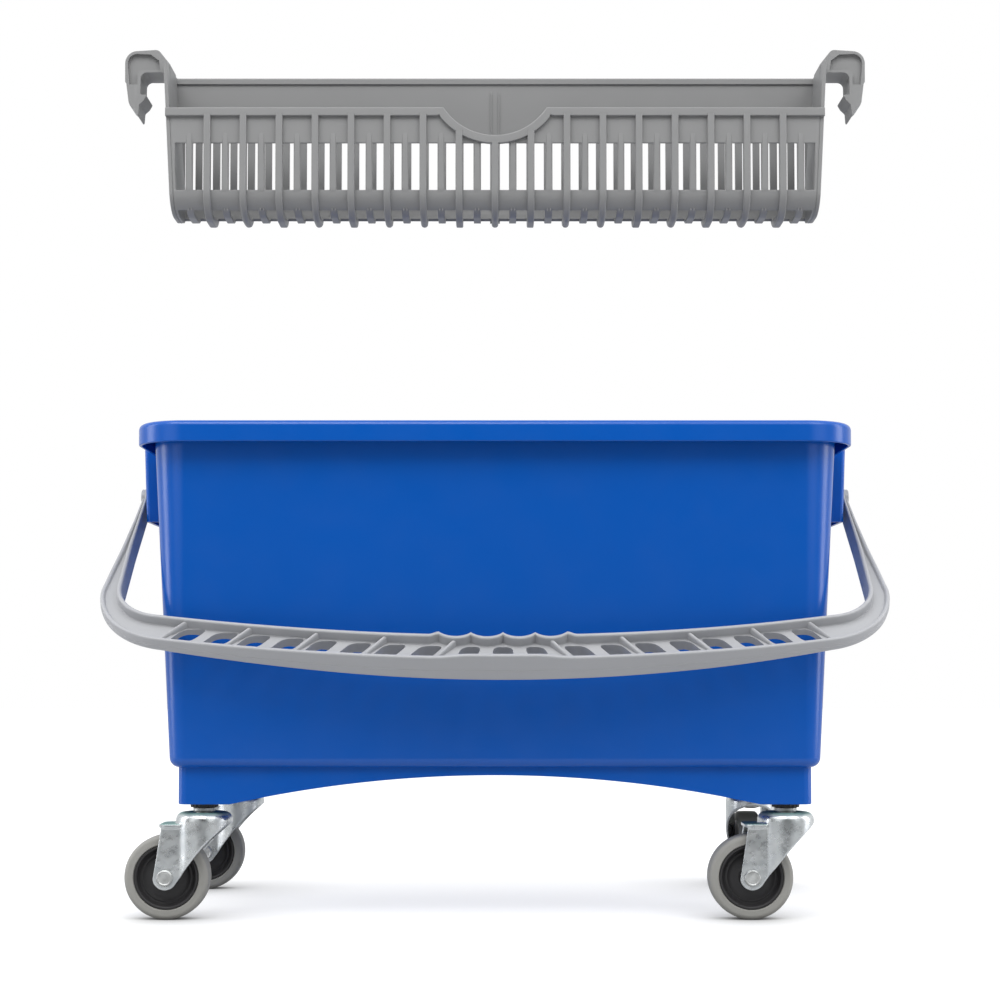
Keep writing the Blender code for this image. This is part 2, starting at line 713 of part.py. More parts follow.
def make_basket(parent, material):
    bm = bmesh.new()
    add_trough(bm, trough_path(0.0, BASKET_BACK_H, BASKET_BACK_H), 0.0)
    basket = make_object("basket", bm, parent, material)

    bm = bmesh.new()
    over = BASKET_BACK_H + 10 * MM
    add_trough(bm, trough_path(-BASKET_WALL, over, over), 2.5 * MM)
    add_boolean(basket, make_object("basket_hollow", bm, parent), "DIFFERENCE")

    bm = bmesh.new()
    half_x = BASKET_HALF_TOP - 6 * MM
    front_y = -BASKET_HALF_Y
    add_box(bm, (-half_x, front_y - MM, BASKET_FRONT_H), (half_x, front_y + 5 * MM, over))
    add_boolean(basket, make_object("basket_front_opening", bm, parent), "DIFFERENCE")

    bm = bmesh.new()
    for index in range(-OUTER_RIBS_PER_SIDE, OUTER_RIBS_PER_SIDE + 1):
        x = 2 * index * BAR_PITCH
        front_z = BASKET_FRONT_H - 3 * MM
        outer = trough_path(OUTER_RIB_OUT, front_z, OUTER_RIB_BACK_Z)
        inner = trough_path(-MM, front_z, OUTER_RIB_BACK_Z)
        outline = outer + inner[::-1]
        add_prism(bm, outline, x - OUTER_RIB_W / 2, x + OUTER_RIB_W / 2, "X")
    add_boolean(basket, make_object("basket_ribs", bm, parent), "UNION")

    bm = bmesh.new()
    for side in (-1, 1):
        add_prism(bm, hook_outline(side), -HOOK_HALF_Y, HOOK_HALF_Y)
    lip_half_x = BASKET_HALF_TOP - 2 * MM
    lip_out = 2.4 * MM
    low = (-lip_half_x, front_y - lip_out, BASKET_FRONT_H - 6 * MM)
    add_box(bm, low, (lip_half_x, front_y + MM, BASKET_FRONT_H - 0.2 * MM))
    add_boolean(basket, make_object("basket_hooks", bm, parent), "UNION")

    bm = bmesh.new()
    for index in range(-SLOTS_PER_SIDE, SLOTS_PER_SIDE):
        x = (index + 0.5) * BAR_PITCH
        far_y = BASKET_HALF_Y + 6 * MM
        half_w = SLOT_W / 2
        add_box(bm, (x - half_w, -far_y, SLOT_LOW), (x + half_w, -MM, FRONT_SLOT_HIGH))
        add_box(bm, (x - half_w, MM, SLOT_LOW), (x + half_w, far_y, BACK_SLOT_HIGH))
        floor_y = FLOOR_SLOT_HALF_Y
        add_box(bm, (x - half_w, -floor_y, -5 * MM), (x + half_w, floor_y, 5 * MM))
    notch_z = BASKET_FRONT_H - NOTCH_DEPTH + NOTCH_R
    reach = (front_y - 6 * MM, front_y + 6 * MM)
    add_turned(bm, [(NOTCH_R, y) for y in reach], 48, (0.0, 0.0, notch_z), "Y")
    add_boolean(basket, make_object("basket_slots", bm, parent), "DIFFERENCE")
    return basket


# ---------------------------------------------------------------- assembly


def main():
    for obj in list(bpy.data.objects):
        bpy.data.objects.remove(obj, do_unlink=True)
    colours = {
        "zinc": make_material("zinc_plate", (0.62, 0.66, 0.66), 0.32, 1.0),
        "steel": make_material("bright_steel", (0.70, 0.70, 0.68), 0.28, 1.0),
        "black_plastic": make_material("black_plastic", (0.03, 0.03, 0.03), 0.45),
        "tread": make_material("grey_tread", (0.28, 0.28, 0.26), 0.6),
    }
    bucket = make_empty("bucket", (0.0, BUCKET_Y, 0.0))
    make_tub(bucket, make_material("blue_plastic", (0.0, 0.08, 0.40), 0.35))
    for place in CASTORS:
        make_castor(place, bucket, colours)
    pivot = make_empty("handle_pivot", (0.0, 0.0, PIVOT_Z), bucket, (-HANDLE_TILT, 0.0, 0.0))
    make_handle(pivot, make_material("light_grey_plastic", (0.50, 0.50, 0.51), 0.45))
    lift = make_empty("basket_lift", (0.0, BASKET_Y, BASKET_REST_Z), bucket)
    make_basket(lift, make_material("grey_plastic", (0.24, 0.24, 0.24), 0.5))


main()
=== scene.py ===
"""Looks of the wheeled cleaning bucket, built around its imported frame.

Shapes are modelled in millimetres about each part's own origin, then placed in the frame in metres.
"""

import json
import math

import bmesh
import bpy
from mathutils import Matrix, Vector


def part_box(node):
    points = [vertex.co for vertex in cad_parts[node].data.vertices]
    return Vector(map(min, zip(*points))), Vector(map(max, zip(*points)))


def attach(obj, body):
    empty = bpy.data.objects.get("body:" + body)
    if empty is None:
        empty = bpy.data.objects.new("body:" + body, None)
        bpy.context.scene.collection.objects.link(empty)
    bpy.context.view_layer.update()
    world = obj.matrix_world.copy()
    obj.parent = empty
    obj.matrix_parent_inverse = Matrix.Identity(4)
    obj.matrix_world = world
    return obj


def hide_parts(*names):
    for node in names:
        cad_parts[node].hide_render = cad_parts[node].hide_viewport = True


MM = 0.001
PLACES = ("front_left", "front_right", "rear_left", "rear_right")

# Tub. An inset is measured inwards from the rim's outer edge.
RIM_HALF_X = 253.0
RIM_HALF_Y = 135.0
RIM_CORNER_R = 36.0
RIM_TOP_Z = 350.0
RIM_BAND_H = 15.0
RIM_EDGE_R = 4.0
RIM_PLATE_T = 3.0
WALL_T = 2.5
BODY_TOP_INSET = 11.0
BODY_LOW_INSET = 23.0
BODY_LOW_Z = 115.0
BODY_EDGE_R = 7.0
FLOOR_TOP_Z = 111.0
FLOOR_UNDER_Z = 108.0
SKIRT_INSET = 29.5
SKIRT_LOW_Z = 82.0
SKIRT_CORNER_R = 8.0
ARCH_TOP_Z = 102.5
ARCH_HALF_CHORD = 187.0
BOSS_OUT_X = 263.0
BOSS_IN_X = 238.5
BOSS_HALF_Y = 32.0
BOSS_LOW_Z = 287.0
BOSS_TOP_Z = 345.0
PIVOT_Z = 308.0
STEM_X = 207.0
STEM_Y = 88.0

# Castor, about its swivel axis on the floor, trailing along -X
TRAIL = 25.6
WHEEL_R = 30.0
WHEEL_W = 18.0
HUB_R = 22.9
DOME_R = 20.0
DOME_TOP_Z = 75.8
REAR_PLATE_Z = 67.6
GUTTER_X = -14.7
LEG_IN_Y = 11.6
LEG_T = 2.0

# Handle, in its own plane: r is the distance from the pivot, n stands square to the plane
HANDLE_TILT = math.radians(50.5)
OUT_REACH = 201.5
OUT_SAG = 18.5
IN_REACH = 178.0
IN_SAG = 17.0
SAG_AT_X = 205.0
OUT_X = 280.5
OUT_R = 58.0
IN_X = 265.0
IN_R = 34.0
FLANGE_T = 3.2
RIB_X = (39.5, 88.5, 135.5, 180.6, 223.5)
RIB_SLANT = 17.0
GRIP_PITCH = 22.0
GRIP_CRESTS = 5
GRIP_SHIFT = 5.5

# Basket, from the middle of its underside
BASKET_HALF_TOP = 237.5
BASKET_HALF_LOW = 232.0
BASKET_HALF_Y = 22.0
BASKET_BACK_H = 110.0
BASKET_FRONT_H = 76.0
BASKET_EDGE_R = 16.0
BASKET_WALL = 2.2
BAR_PITCH = 12.85
SLOT_W = 7.8
SLOT_LOW = 17.0
FRONT_SLOT_HIGH = 51.0
BACK_SLOT_HIGH = 64.0
SLOTS_PER_SIDE = 18
RIBS_PER_SIDE = 8
SQUARE_RIBS = (1, 4, 6, 8)
RIB_W = 4.9
RIB_OUT = 3.0
RIB_BACK_Z = 70.0
NOTCH_R = 44.0
NOTCH_DEPTH = 20.0
END_STEP = 0.15
HOOK_WALL_X = 236.5
HOOK_LEG_IN_X = 255.5
HOOK_LEG_OUT_X = 267.0
HOOK_GAP_TOP = 105.0
HOOK_HALF_Y = 12.0
HOOK_POCKET_DEPTH = 2.6

# Plastics and rubber
BLUE = (0.0, 0.08, 0.40)
LIGHT_GREY = (0.37, 0.374, 0.387)
GREY = (0.225, 0.225, 0.225)
BLACK = (0.022, 0.021, 0.022)
TREAD_GREY = (0.29, 0.285, 0.265)

# Studio. A ring holds the brightness around the object, as (share of a half turn from straight
# ahead, level), and a top is the level of the ceiling.
DIFFUSE_RING = ((0.0, 0.2), (0.18, 0.3), (0.38, 1.0), (0.6, 1.0), (1.0, 0.6))
DIFFUSE_TOP = 1.25
GLOSSY_RING = (
    (0.0, 0.02),
    (0.08, 0.04),
    (0.15, 1.1),
    (0.25, 1.2),
    (0.32, 0.2),
    (0.40, 0.45),
    (0.49, 1.1),
    (0.58, 0.5),
    (0.75, 0.9),
    (1.0, 0.7),
)
GLOSSY_TOP = 0.9
FLOOR_GLOW = 0.15
FLOOR_CAMERA_GLOW = 0.55
FLOOR_GREY = 0.45
# Reach of the painted contact shadow on the floor, in metres
PAINTED_SHADOW_REACH = 0.1
FLOOR_FADE_Y = (-0.8, -0.3)

# Camera, in front of the bucket's middle and looking slightly up
CAMERA_LENS = 65.0
CAMERA_AWAY = 1.38
CAMERA_Z = 0.18
CAMERA_RISE = 2.38


# ---------------------------------------------------------------- mesh helpers


def arc(centre, radius, start, end, steps):
    """Points along an arc from start to end degrees, both included."""
    points = []
    for i in range(steps + 1):
        angle = math.radians(start + (end - start) * i / steps)
        points.append((centre[0] + radius * math.cos(angle), centre[1] + radius * math.sin(angle)))
    return points


def smooth(share):
    share = min(max(share, 0.0), 1.0)
    return share * share * (3 - 2 * share)


def lerp(a, b, share):
    return a + (b - a) * share


def loft(bm, rings, closed=False, capped=True):
    """Joins rings of points into one skin."""
    loops = [[bm.verts.new(point) for point in ring] for ring in rings]
    pairs = list(zip(loops, loops[1:]))
    if closed:
        pairs.append((loops[-1], loops[0]))
    for low, high in pairs:
        for i in range(len(low)):
            j = (i + 1) % len(low)
            bm.faces.new((low[i], low[j], high[j], high[i]))
    if capped and not closed:
        bm.faces.new(loops[0])
        bm.faces.new(loops[-1])


def box(bm, low, high):
    (x0, y0, z0), (x1, y1, z1) = low, high
    loft(bm, [[(x0, y0, z), (x1, y0, z), (x1, y1, z), (x0, y1, z)] for z in (z0, z1)])


def turned(bm, profile, steps, centre=(0.0, 0.0, 0.0), axis="Z", closed=False):
    """Turns a profile of (radius, height) points about an axis through centre."""
    rings = []
    for radius, height in profile:
        ring = []
        for i in range(steps):
            angle = 2 * math.pi * i / steps
            u = radius * math.cos(angle)
            v = radius * math.sin(angle)
            point = {"X": (height, u, v), "Y": (u, height, v), "Z": (u, v, height)}[axis]
            ring.append(Vector(point) + Vector(centre))
        rings.append(ring)
    loft(bm, rings, closed)


def prism(bm, outline, low, high, axis="Y"):
    """Extrudes an outline of two coordinates along the third, from low to high."""
    rings = []
    for level in (low, high):
        if axis == "X":
            rings.append([(level, u, v) for u, v in outline])
        elif axis == "Y":
            rings.append([(u, level, v) for u, v in outline])
        else:
            rings.append([(u, v, level) for u, v in outline])
    loft(bm, rings)


def object_from(name, bm):
    mesh = bpy.data.meshes.new(name)
    bm.to_mesh(mesh)
    bm.free()
    obj = bpy.data.objects.new(name, mesh)
    bpy.context.scene.collection.objects.link(obj)
    return obj


def solid(name, bm):
    """Makes an object whose faces all point outwards."""
    bmesh.ops.recalc_face_normals(bm, faces=bm.faces)
    return object_from(name, bm)


def add_modifier(obj, kind, **settings):
    modifier = obj.modifiers.new(kind.lower(), kind)
    for key, value in settings.items():
        setattr(modifier, key, value)
    return modifier


def apply_modifiers(obj):
    graph = bpy.context.evaluated_depsgraph_get()
    mesh = bpy.data.meshes.new_from_object(obj.evaluated_get(graph))
    obj.modifiers.clear()
    obj.data = mesh


def boolean(obj, tool, operation):
    add_modifier(obj, "BOOLEAN", operation=operation, solver="EXACT", object=tool)
    apply_modifiers(obj)
    bpy.data.objects.remove(tool)


def bevel(obj, width, angle=40.0, segments=2):
    add_modifier(
        obj,
        "BEVEL",
        width=width,
        segments=segments,
        limit_method="ANGLE",
        angle_limit=math.radians(angle),
        use_clamp_overlap=True,
    )
    apply_modifiers(obj)


def join(name, objs):
    bm = bmesh.new()
    for obj in objs:
        bm.from_mesh(obj.data)
        bpy.data.objects.remove(obj)
    return object_from(name, bm)


def place(obj, name, matrix, body, slot, nodes=(), sharp=32.0):
    """Turns a part in millimetres into a finished piece of the object."""
    obj.name = name
    obj.data.name = name
    obj.data.transform(matrix @ Matrix.Scale(MM, 4))
    obj.data.materials.clear()
    obj.data.materials.append(MATERIALS[slot])
    obj.data.shade_smooth()
    obj.data.set_sharp_from_angle(angle=math.radians(sharp))
    add_modifier(obj, "WEIGHTED_NORMAL", keep_sharp=True, weight=50)
    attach(obj, body)
    if nodes:
        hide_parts(*nodes)
    return obj


def copy_of(obj):
    twin = bpy.data.objects.new(obj.name + "_copy", obj.data.copy())
    bpy.context.scene.collection.objects.link(twin)
    return twin


# ---------------------------------------------------------------- materials


class Nodes:
    """Adds nodes to a shader tree. An input takes a number, a colour or another node's output."""

    def __init__(self, tree):
        self.tree = tree

    def add(self, kind, **inputs):
        node = self.tree.nodes.new(kind)
        for key, value in inputs.items():
            self.set(node.inputs[key.replace("_", " ")], value)
        return node

    def set(self, socket, value):
        if isinstance(value, bpy.types.NodeSocket):
            self.tree.links.new(value, socket)
        else:
            socket.default_value = value

    def maths(self, operation, a, b):
        node = self.tree.nodes.new("ShaderNodeMath")
        node.operation = operation
        self.set(node.inputs[0], a)
        self.set(node.inputs[1], b)
        return node.outputs[0]

    def ranged(self, value, low, high, from_low=0.3, from_high=0.7, shape="LINEAR"):
        node = self.add("ShaderNodeMapRange", Value=value)
        node.interpolation_type = shape
        node.inputs["From Min"].default_value = from_low
        node.inputs["From Max"].default_value = from_high
        self.set(node.inputs["To Min"], low)
        self.set(node.inputs["To Max"], high)
        return node.outputs[0]


class Shader(Nodes):
    """A surface material under construction."""

    def __init__(self, name):
        self.material = bpy.data.materials.new(name)
        self.material.use_nodes = True
        super().__init__(self.material.node_tree)
        self.surface = self.tree.nodes["Principled BSDF"]
        self.coords = self.add("ShaderNodeTexCoord").outputs["Object"]

    def noise(self, scale, detail=2.0, stretch=None):
        where = self.coords
        if stretch:
            mapping = self.add("ShaderNodeMapping", Vector=where, Scale=stretch)
            where = mapping.outputs[0]
        node = self.add("ShaderNodeTexNoise", Vector=where, Scale=scale, Detail=detail)
        return node.outputs["Fac"]

    def mixed(self, share, a, b, blend="MIX"):
        node = self.tree.nodes.new("ShaderNodeMix")
        node.data_type = "RGBA"
        node.blend_type = blend
        self.set(node.inputs[0], share)
        self.set(node.inputs[6], a)
        self.set(node.inputs[7], b)
        return node.outputs[2]

    def bump(self, height, distance, strength=1.0, normal=None):
        node = self.add("ShaderNodeBump", Height=height, Distance=distance, Strength=strength)
        if normal is not None:
            self.set(node.inputs["Normal"], normal)
        return node.outputs[0]

    def finish(self, **inputs):
        for key, value in inputs.items():
            self.set(self.surface.inputs[key.replace("_", " ")], value)
        return self.material


def scaled(colour, factor):
    return (*(min(channel * factor, 1.0) for channel in colour), 1.0)


def moulded(name, colour, roughness, grain, grain_depth, drift=0.05, wave_depth=0.00015, scuffs=0.25):
    """Injection-moulded plastic: faint colour drift, fine grain, slow waves and a few scuffs."""
    s = Shader(name)
    share = s.ranged(s.noise(7.0, 3.0), 0.0, 1.0, 0.1, 0.9)
    base = s.mixed(share, scaled(colour, 1 - drift), scaled(colour, 1 + drift))
    scratch_a = s.noise(1.0, 1.0, (260.0, 18.0, 22.0))
    scratch_b = s.noise(1.0, 1.0, (16.0, 20.0, 310.0))
    patch = s.ranged(s.noise(11.0, 2.0), 0.0, 1.0, 0.5, 0.68)
    upright = s.ranged(scratch_a, 0.0, 1.0, 0.7, 0.78)
    level = s.ranged(scratch_b, 0.0, 1.0, 0.71, 0.79)
    lines = s.maths("MAXIMUM", upright, level)
    wear = s.maths("MULTIPLY", s.maths("MULTIPLY", lines, patch), scuffs)
    worn = s.mixed(wear, base, scaled(tuple(channel * 0.8 + 0.14 for channel in colour), 1.0))
    rough = s.ranged(s.noise(38.0, 3.0), roughness * 0.88, roughness * 1.14)
    rough = s.maths("ADD", rough, s.maths("MULTIPLY", wear, 0.25))
    waves = s.bump(s.noise(13.0, 1.0), wave_depth)
    grained = s.bump(s.noise(grain, 2.0), grain_depth, 1.0, waves)
    return s.finish(Base_Color=worn, Roughness=rough, Normal=grained, IOR=1.47)


def zinc_plated():
    """Bright zinc over stamped steel, with a painted blue-green reflection on faces that look up."""
    s = Shader("zinc_plate")
    cloud = s.noise(85.0, 4.0)
    base = s.mixed(s.ranged(cloud, 0.0, 1.0), (0.55, 0.58, 0.59, 1.0), (0.72, 0.74, 0.74, 1.0))
    up = s.add("ShaderNodeSeparateXYZ", Vector=s.add("ShaderNodeNewGeometry").outputs["Normal"]).outputs[2]
    # Painted reflection: faces that look up take a blue-green tint standing in for the blue tub above them,
    # and turn less metallic and rougher.
    painted_reflection = s.ranged(up, 0.0, 0.9, 0.55, 0.95)
    painted_reflection_tint = s.mixed(painted_reflection, base, (0.10, 0.235, 0.21, 1.0))
    metal = s.maths("SUBTRACT", 1.0, s.maths("MULTIPLY", painted_reflection, 0.9))
    spangle = s.add("ShaderNodeTexVoronoi", Vector=s.coords, Scale=260.0).outputs["Distance"]
    rough = s.maths("ADD", s.ranged(s.noise(150.0, 4.0), 0.2, 0.4), s.maths("MULTIPLY", painted_reflection, 0.3))
    dents = s.bump(s.noise(55.0, 3.0), 0.0005)
    fine = s.bump(spangle, 0.00006, 0.7, dents)
    return s.finish(Base_Color=painted_reflection_tint, Metallic=metal, Roughness=rough, Normal=fine)


def bright_steel():
    """Rivets and stems: turned steel with a hammered face."""
    s = Shader("bright_steel")
    cloud = s.noise(220.0, 4.0)
    base = s.mixed(s.ranged(cloud, 0.0, 1.0), (0.45, 0.46, 0.45, 1.0), (0.68, 0.69, 0.68, 1.0))
    hammered = s.bump(s.noise(420.0, 3.0), 0.0004)
    return s.finish(Base_Color=base, Metallic=1.0, Roughness=s.ranged(cloud, 0.4, 0.55), Normal=hammered)


def make_materials():
    return {
        "blue_plastic": moulded("blue_plastic", BLUE, 0.24, 900.0, 0.000012, 0.03, 0.00012, 0.0),
        "light_grey_plastic": moulded("light_grey_plastic", LIGHT_GREY, 0.42, 1500.0, 0.00003),
        "grey_plastic": moulded("grey_plastic", GREY, 0.45, 1300.0, 0.00003),
        "black_plastic": moulded("black_plastic", BLACK, 0.48, 1600.0, 0.00004, 0.05, 0.0001, 0.1),
        "grey_tread": moulded("grey_tread", TREAD_GREY, 0.62, 1900.0, 0.00006),
        "zinc_plate": zinc_plated(),
        "bright_steel": bright_steel(),
    }


# ---------------------------------------------------------------- tub


def tub_ring(inset, z, least_r):
    half_x = RIM_HALF_X - inset
    half_y = RIM_HALF_Y - inset
    radius = max(RIM_CORNER_R - inset, least_r)
    points = []
    for quarter, (sx, sy) in enumerate(((1, 1), (-1, 1), (-1, -1), (1, -1))):
        centre = (sx * (half_x - radius), sy * (half_y - radius))
        corner = arc(centre, radius, 90 * quarter, 90 * quarter + 90, 16)
        points.extend((x, y, z) for x, y in corner)
    return points


def tub_profile():
    """(inset, z) from the inner floor, over the rim and down to the floor's underside."""
    inner_r = BODY_EDGE_R - 1
    inner_low = BODY_LOW_INSET + WALL_T
    inner_top = BODY_TOP_INSET + WALL_T
    points = arc((inner_low + inner_r, FLOOR_TOP_Z + inner_r), inner_r, -90, -180, 7)
    points += arc((inner_top - 2, RIM_TOP_Z - 2), 2, 0, 90, 4)
    points += arc((RIM_EDGE_R, RIM_TOP_Z - RIM_EDGE_R), RIM_EDGE_R, 90, 180, 8)
    band_low = RIM_TOP_Z - RIM_BAND_H
    points += arc((0.9, band_low + 0.9), 0.9, 180, 270, 4)
    points += arc((WALL_T - 0.5, band_low + 0.5), 0.5, 270, 360, 2)
    hollow_top = RIM_TOP_Z - RIM_PLATE_T
    points += arc((WALL_T + 1.5, hollow_top - 1.5), 1.5, 180, 90, 3)
    points += arc((BODY_TOP_INSET - 1.5, hollow_top - 1.5), 1.5, 90, 0, 3)
    edge_centre = (BODY_LOW_INSET + BODY_EDGE_R, BODY_LOW_Z)
    end = 180 + math.degrees(math.acos((edge_centre[0] - SKIRT_INSET) / BODY_EDGE_R))
    points += arc(edge_centre, BODY_EDGE_R, 180, end, 9)
    points += [(SKIRT_INSET, SKIRT_LOW_Z + 0.4), (SKIRT_INSET + 0.4, SKIRT_LOW_Z)]
    points += [(SKIRT_INSET + WALL_T, SKIRT_LOW_Z), (SKIRT_INSET + WALL_T, FLOOR_UNDER_Z)]
    return points


def arch_outline():
    rise = ARCH_TOP_Z - SKIRT_LOW_Z
    radius = (ARCH_HALF_CHORD**2 + rise**2) / (2 * rise)
    half_angle = math.degrees(math.asin(ARCH_HALF_CHORD / radius))
    curve = arc((0.0, ARCH_TOP_Z - radius), radius, 90 + half_angle, 90 - half_angle, 64)
    return curve + [(ARCH_HALF_CHORD, SKIRT_LOW_Z - 10), (-ARCH_HALF_CHORD, SKIRT_LOW_Z - 10)]


def boss_rings(side, grow, low_z, high_z, low_x, high_x):
    """Sections of a boss: rounded corners on its outer side, drafted inwards as it goes down."""
    rings = []
    in_x = BOSS_IN_X if grow == 0 else BOSS_IN_X + 4.5
    radius = 3.0 + grow / 2
    half_y = BOSS_HALF_Y + grow
    for z, out_x in ((low_z, low_x), (high_z, high_x)):
        outline = [(in_x, -half_y)]
        outline += arc((out_x + grow - radius, -half_y + radius), radius, -90, 0, 6)
        outline += arc((out_x + grow - radius, half_y - radius), radius, 0, 90, 6)
        outline.append((in_x, half_y))
        rings.append([(side * x, y, z) for x, y in outline])
    return rings


def make_tub():
    bm = bmesh.new()
    loft(bm, [tub_ring(inset, z, SKIRT_CORNER_R - 3) for inset, z in tub_profile()])
    tub = solid("tub", bm)

    bm = bmesh.new()
    for side in (-1, 1):
        loft(bm, boss_rings(side, 0.0, BOSS_LOW_Z, BOSS_TOP_Z, BOSS_OUT_X - 2, BOSS_OUT_X))
    for sx, sy in ((-1, -1), (1, -1), (-1, 1), (1, 1)):
        turned(bm, [(11.5, SKIRT_LOW_Z + 1), (11.5, FLOOR_UNDER_Z + 1)], 40, (sx * STEM_X, sy * STEM_Y, 0))
    for x in (-160, -96, -32, 32, 96, 160):
        box(bm, (x - 0.9, -106, FLOOR_UNDER_Z - 3.6), (x + 0.9, 106, FLOOR_UNDER_Z + 1))
    boolean(tub, solid("additions", bm), "UNION")

    bm = bmesh.new()
    for side in (-1, 1):
        low = BOSS_LOW_Z - 5
        loft(bm, boss_rings(side, -WALL_T, low, BOSS_TOP_Z - WALL_T, BOSS_OUT_X - 2, BOSS_OUT_X))
    for sx, sy in ((-1, -1), (1, -1), (-1, 1), (1, 1)):
        bore = [(8.7, SKIRT_LOW_Z - 5), (8.7, FLOOR_UNDER_Z - 4)]
        turned(bm, bore, 40, (sx * STEM_X, sy * STEM_Y, 0))
    prism(bm, arch_outline(), -RIM_HALF_Y, RIM_HALF_Y)
    boolean(tub, solid("cuts", bm), "DIFFERENCE")

    bm = bmesh.new()
    for side in (-1, 1):
        bore = [(6.3, side * (BOSS_OUT_X - 6)), (6.3, side * (BOSS_OUT_X + 3))]
        turned(bm, bore, 40, (0.0, 0.0, PIVOT_Z), "X")
    boolean(tub, solid("pivot_bores", bm), "DIFFERENCE")
    return tub


# ---------------------------------------------------------------- castors


def make_fork():
    """Stamped fork: its parts joined, then remeshed and smoothed so that each bend is round."""
    bm = bmesh.new()
    low_z = WHEEL_R - 5
    profile = [(DOME_R - LEG_T, low_z), (DOME_R, low_z)]
    profile += arc((DOME_R - 5.5, DOME_TOP_Z - 5.5), 5.5, 0, 90, 8)
    profile += [(11.5, DOME_TOP_Z), (10.5, DOME_TOP_Z - 0.7), (6.3, DOME_TOP_Z - 0.7)]
    profile.append((6.3, DOME_TOP_Z - 2.7))
    profile += [(11, DOME_TOP_Z - 2.7), (12, DOME_TOP_Z - LEG_T)]
    profile += arc((DOME_R - 5.5, DOME_TOP_Z - 5.5), 3.5, 80, 0, 6)
    turned(bm, profile, 96, closed=True)
    fork = solid("fork", bm)

    # The slanting front edge, from the leg's bend up to the crown
    edge = [(GUTTER_X, 30.3), (-12.6, 33.4), (-8, 39.6), (-3, 46.2)]
    edge += [(2, 52.2), (8, 58.4), (14, 63.8), (21, 69.4)]
    bm = bmesh.new()
    far = DOME_R + 1
    area = [(GUTTER_X, REAR_PLATE_Z - 1)] + edge
    area += [(far, DOME_TOP_Z + 1), (-far, DOME_TOP_Z + 1), (-far, REAR_PLATE_Z - 1)]
    prism(bm, area, -far, far)
    boolean(fork, solid("area", bm), "INTERSECT")

    bm = bmesh.new()
    out_y = LEG_IN_Y + LEG_T
    outline = arc((-TRAIL, WHEEL_R), 8.7, 186, 325, 24)
    outline += [(GUTTER_X + 0.8, 31.5), (GUTTER_X + 0.8, REAR_PLATE_Z)]
    outline += [(-29.6, REAR_PLATE_Z), (-28.6, REAR_PLATE_Z - 3)]
    for low in (-out_y, LEG_IN_Y):
        prism(bm, outline, low, low + LEG_T)
    boolean(fork, solid("legs", bm), "UNION")

    bm = bmesh.new()
    half_y = out_y + 1.0
    plate = [(-15.0, -half_y)] + arc((-25.5, -half_y + 5), 5, 270, 180, 8)
    plate += arc((-25.5, half_y - 5), 5, 180, 90, 8) + [(-15.0, half_y)]
    prism(bm, plate, REAR_PLATE_Z - LEG_T - 0.1, REAR_PLATE_Z + 0.1, "Z")
    boolean(fork, solid("plate", bm), "UNION")

    add_modifier(fork, "REMESH", mode="VOXEL", voxel_size=0.5, use_smooth_shade=True)
    add_modifier(fork, "SMOOTH", factor=0.5, iterations=7)
    add_modifier(fork, "DECIMATE", ratio=0.4)
    apply_modifiers(fork)
    return fork


def make_stem():
    bm = bmesh.new()
    profile = [(4, 64.5), (8.4, 66), (9, 66.8), (9, 68), (6, 68), (6, 76.1), (7.5, 76.1)]
    profile += [(7.9, 76.5), (7.9, 78.5), (7.5, 78.9), (5.5, 78.9), (5.5, 98), (4.5, 100)]
    turned(bm, profile, 48)
    return solid("stem", bm)


def make_socket():
    """Ribbed plastic sleeve that grips the stem in the tub."""
    rings = []
    steps = 96
    sleeve_r = 8.4
    bore_r = 5.8
    levels = [(9.4, 79.1, 0.3), (9.9, 79.5, 0.7), (9.9, 81.6, 0.7), (sleeve_r, 81.7, 0.0)]
    levels += [(sleeve_r, 101, 0.0), (bore_r, 101, 0.0), (bore_r, 79.1, 0.0)]
    for radius, z, rib in levels:
        ring = []
        for i in range(steps):
            angle = 2 * math.pi * i / steps
            r = radius - rib * (0.5 - 0.5 * math.cos(angle * 18))
            ring.append((r * math.cos(angle), r * math.sin(angle), z))
        rings.append(ring)
    bm = bmesh.new()
    loft(bm, rings, closed=True)
    return solid("socket", bm)


def make_race():
    bm = bmesh.new()
    profile = [(9.4, 66.3), (9.8, 66), (10.9, 66), (11.2, 66.4)]
    profile += [(11.2, 69.3), (10.8, 69.7), (9.8, 69.7), (9.4, 69.3)]
    turned(bm, profile, 48, closed=True)
    return solid("race", bm)


def make_axle():
    """Rivet through both legs: a domed head with a pressed ring on each side."""
    out = LEG_IN_Y + LEG_T + 0.3
    head = [(0.01, out + 1.25), (3.6, out + 1.35), (4.1, out + 1.2), (4.5, out + 1.5), (5.1, out + 1.5)]
    head += [(5.7, out + 1.0), (5.9, out + 0.5), (5.9, out), (3.0, out)]
    profile = [(r, -y) for r, y in head] + [(r, y) for r, y in reversed(head)]
    bm = bmesh.new()
    turned(bm, profile, 48, (-TRAIL, 0.0, WHEEL_R), "Y")
    return solid("axle", bm)


def make_hub():
    """Wheel centre: a raised lip, a deep dish with one soft step, and a bearing boss."""
    half_w = WHEEL_W / 2 - 0.4
    face = [(3.3, 10.6), (3.8, 11.0), (6.6, 11.0), (7.2, 10.4), (8.2, 5.2), (9.2, 4.2)]
    face += [(13.5, 3.6), (15.2, 3.7), (16.3, 4.6), (17.0, 5.0), (18.2, 4.6), (19.4, 5.4)]
    face += [(20.4, 7.6), (20.9, half_w - 0.3)]
    face += [(21.4, half_w), (22.4, half_w), (HUB_R, half_w - 0.5)]
    profile = [(r, -y) for r, y in face] + [(r, y) for r, y in reversed(face)]
    bm = bmesh.new()
    turned(bm, profile, 96, (-TRAIL, 0.0, WHEEL_R), "Y", closed=True)
    return solid("hub", bm)


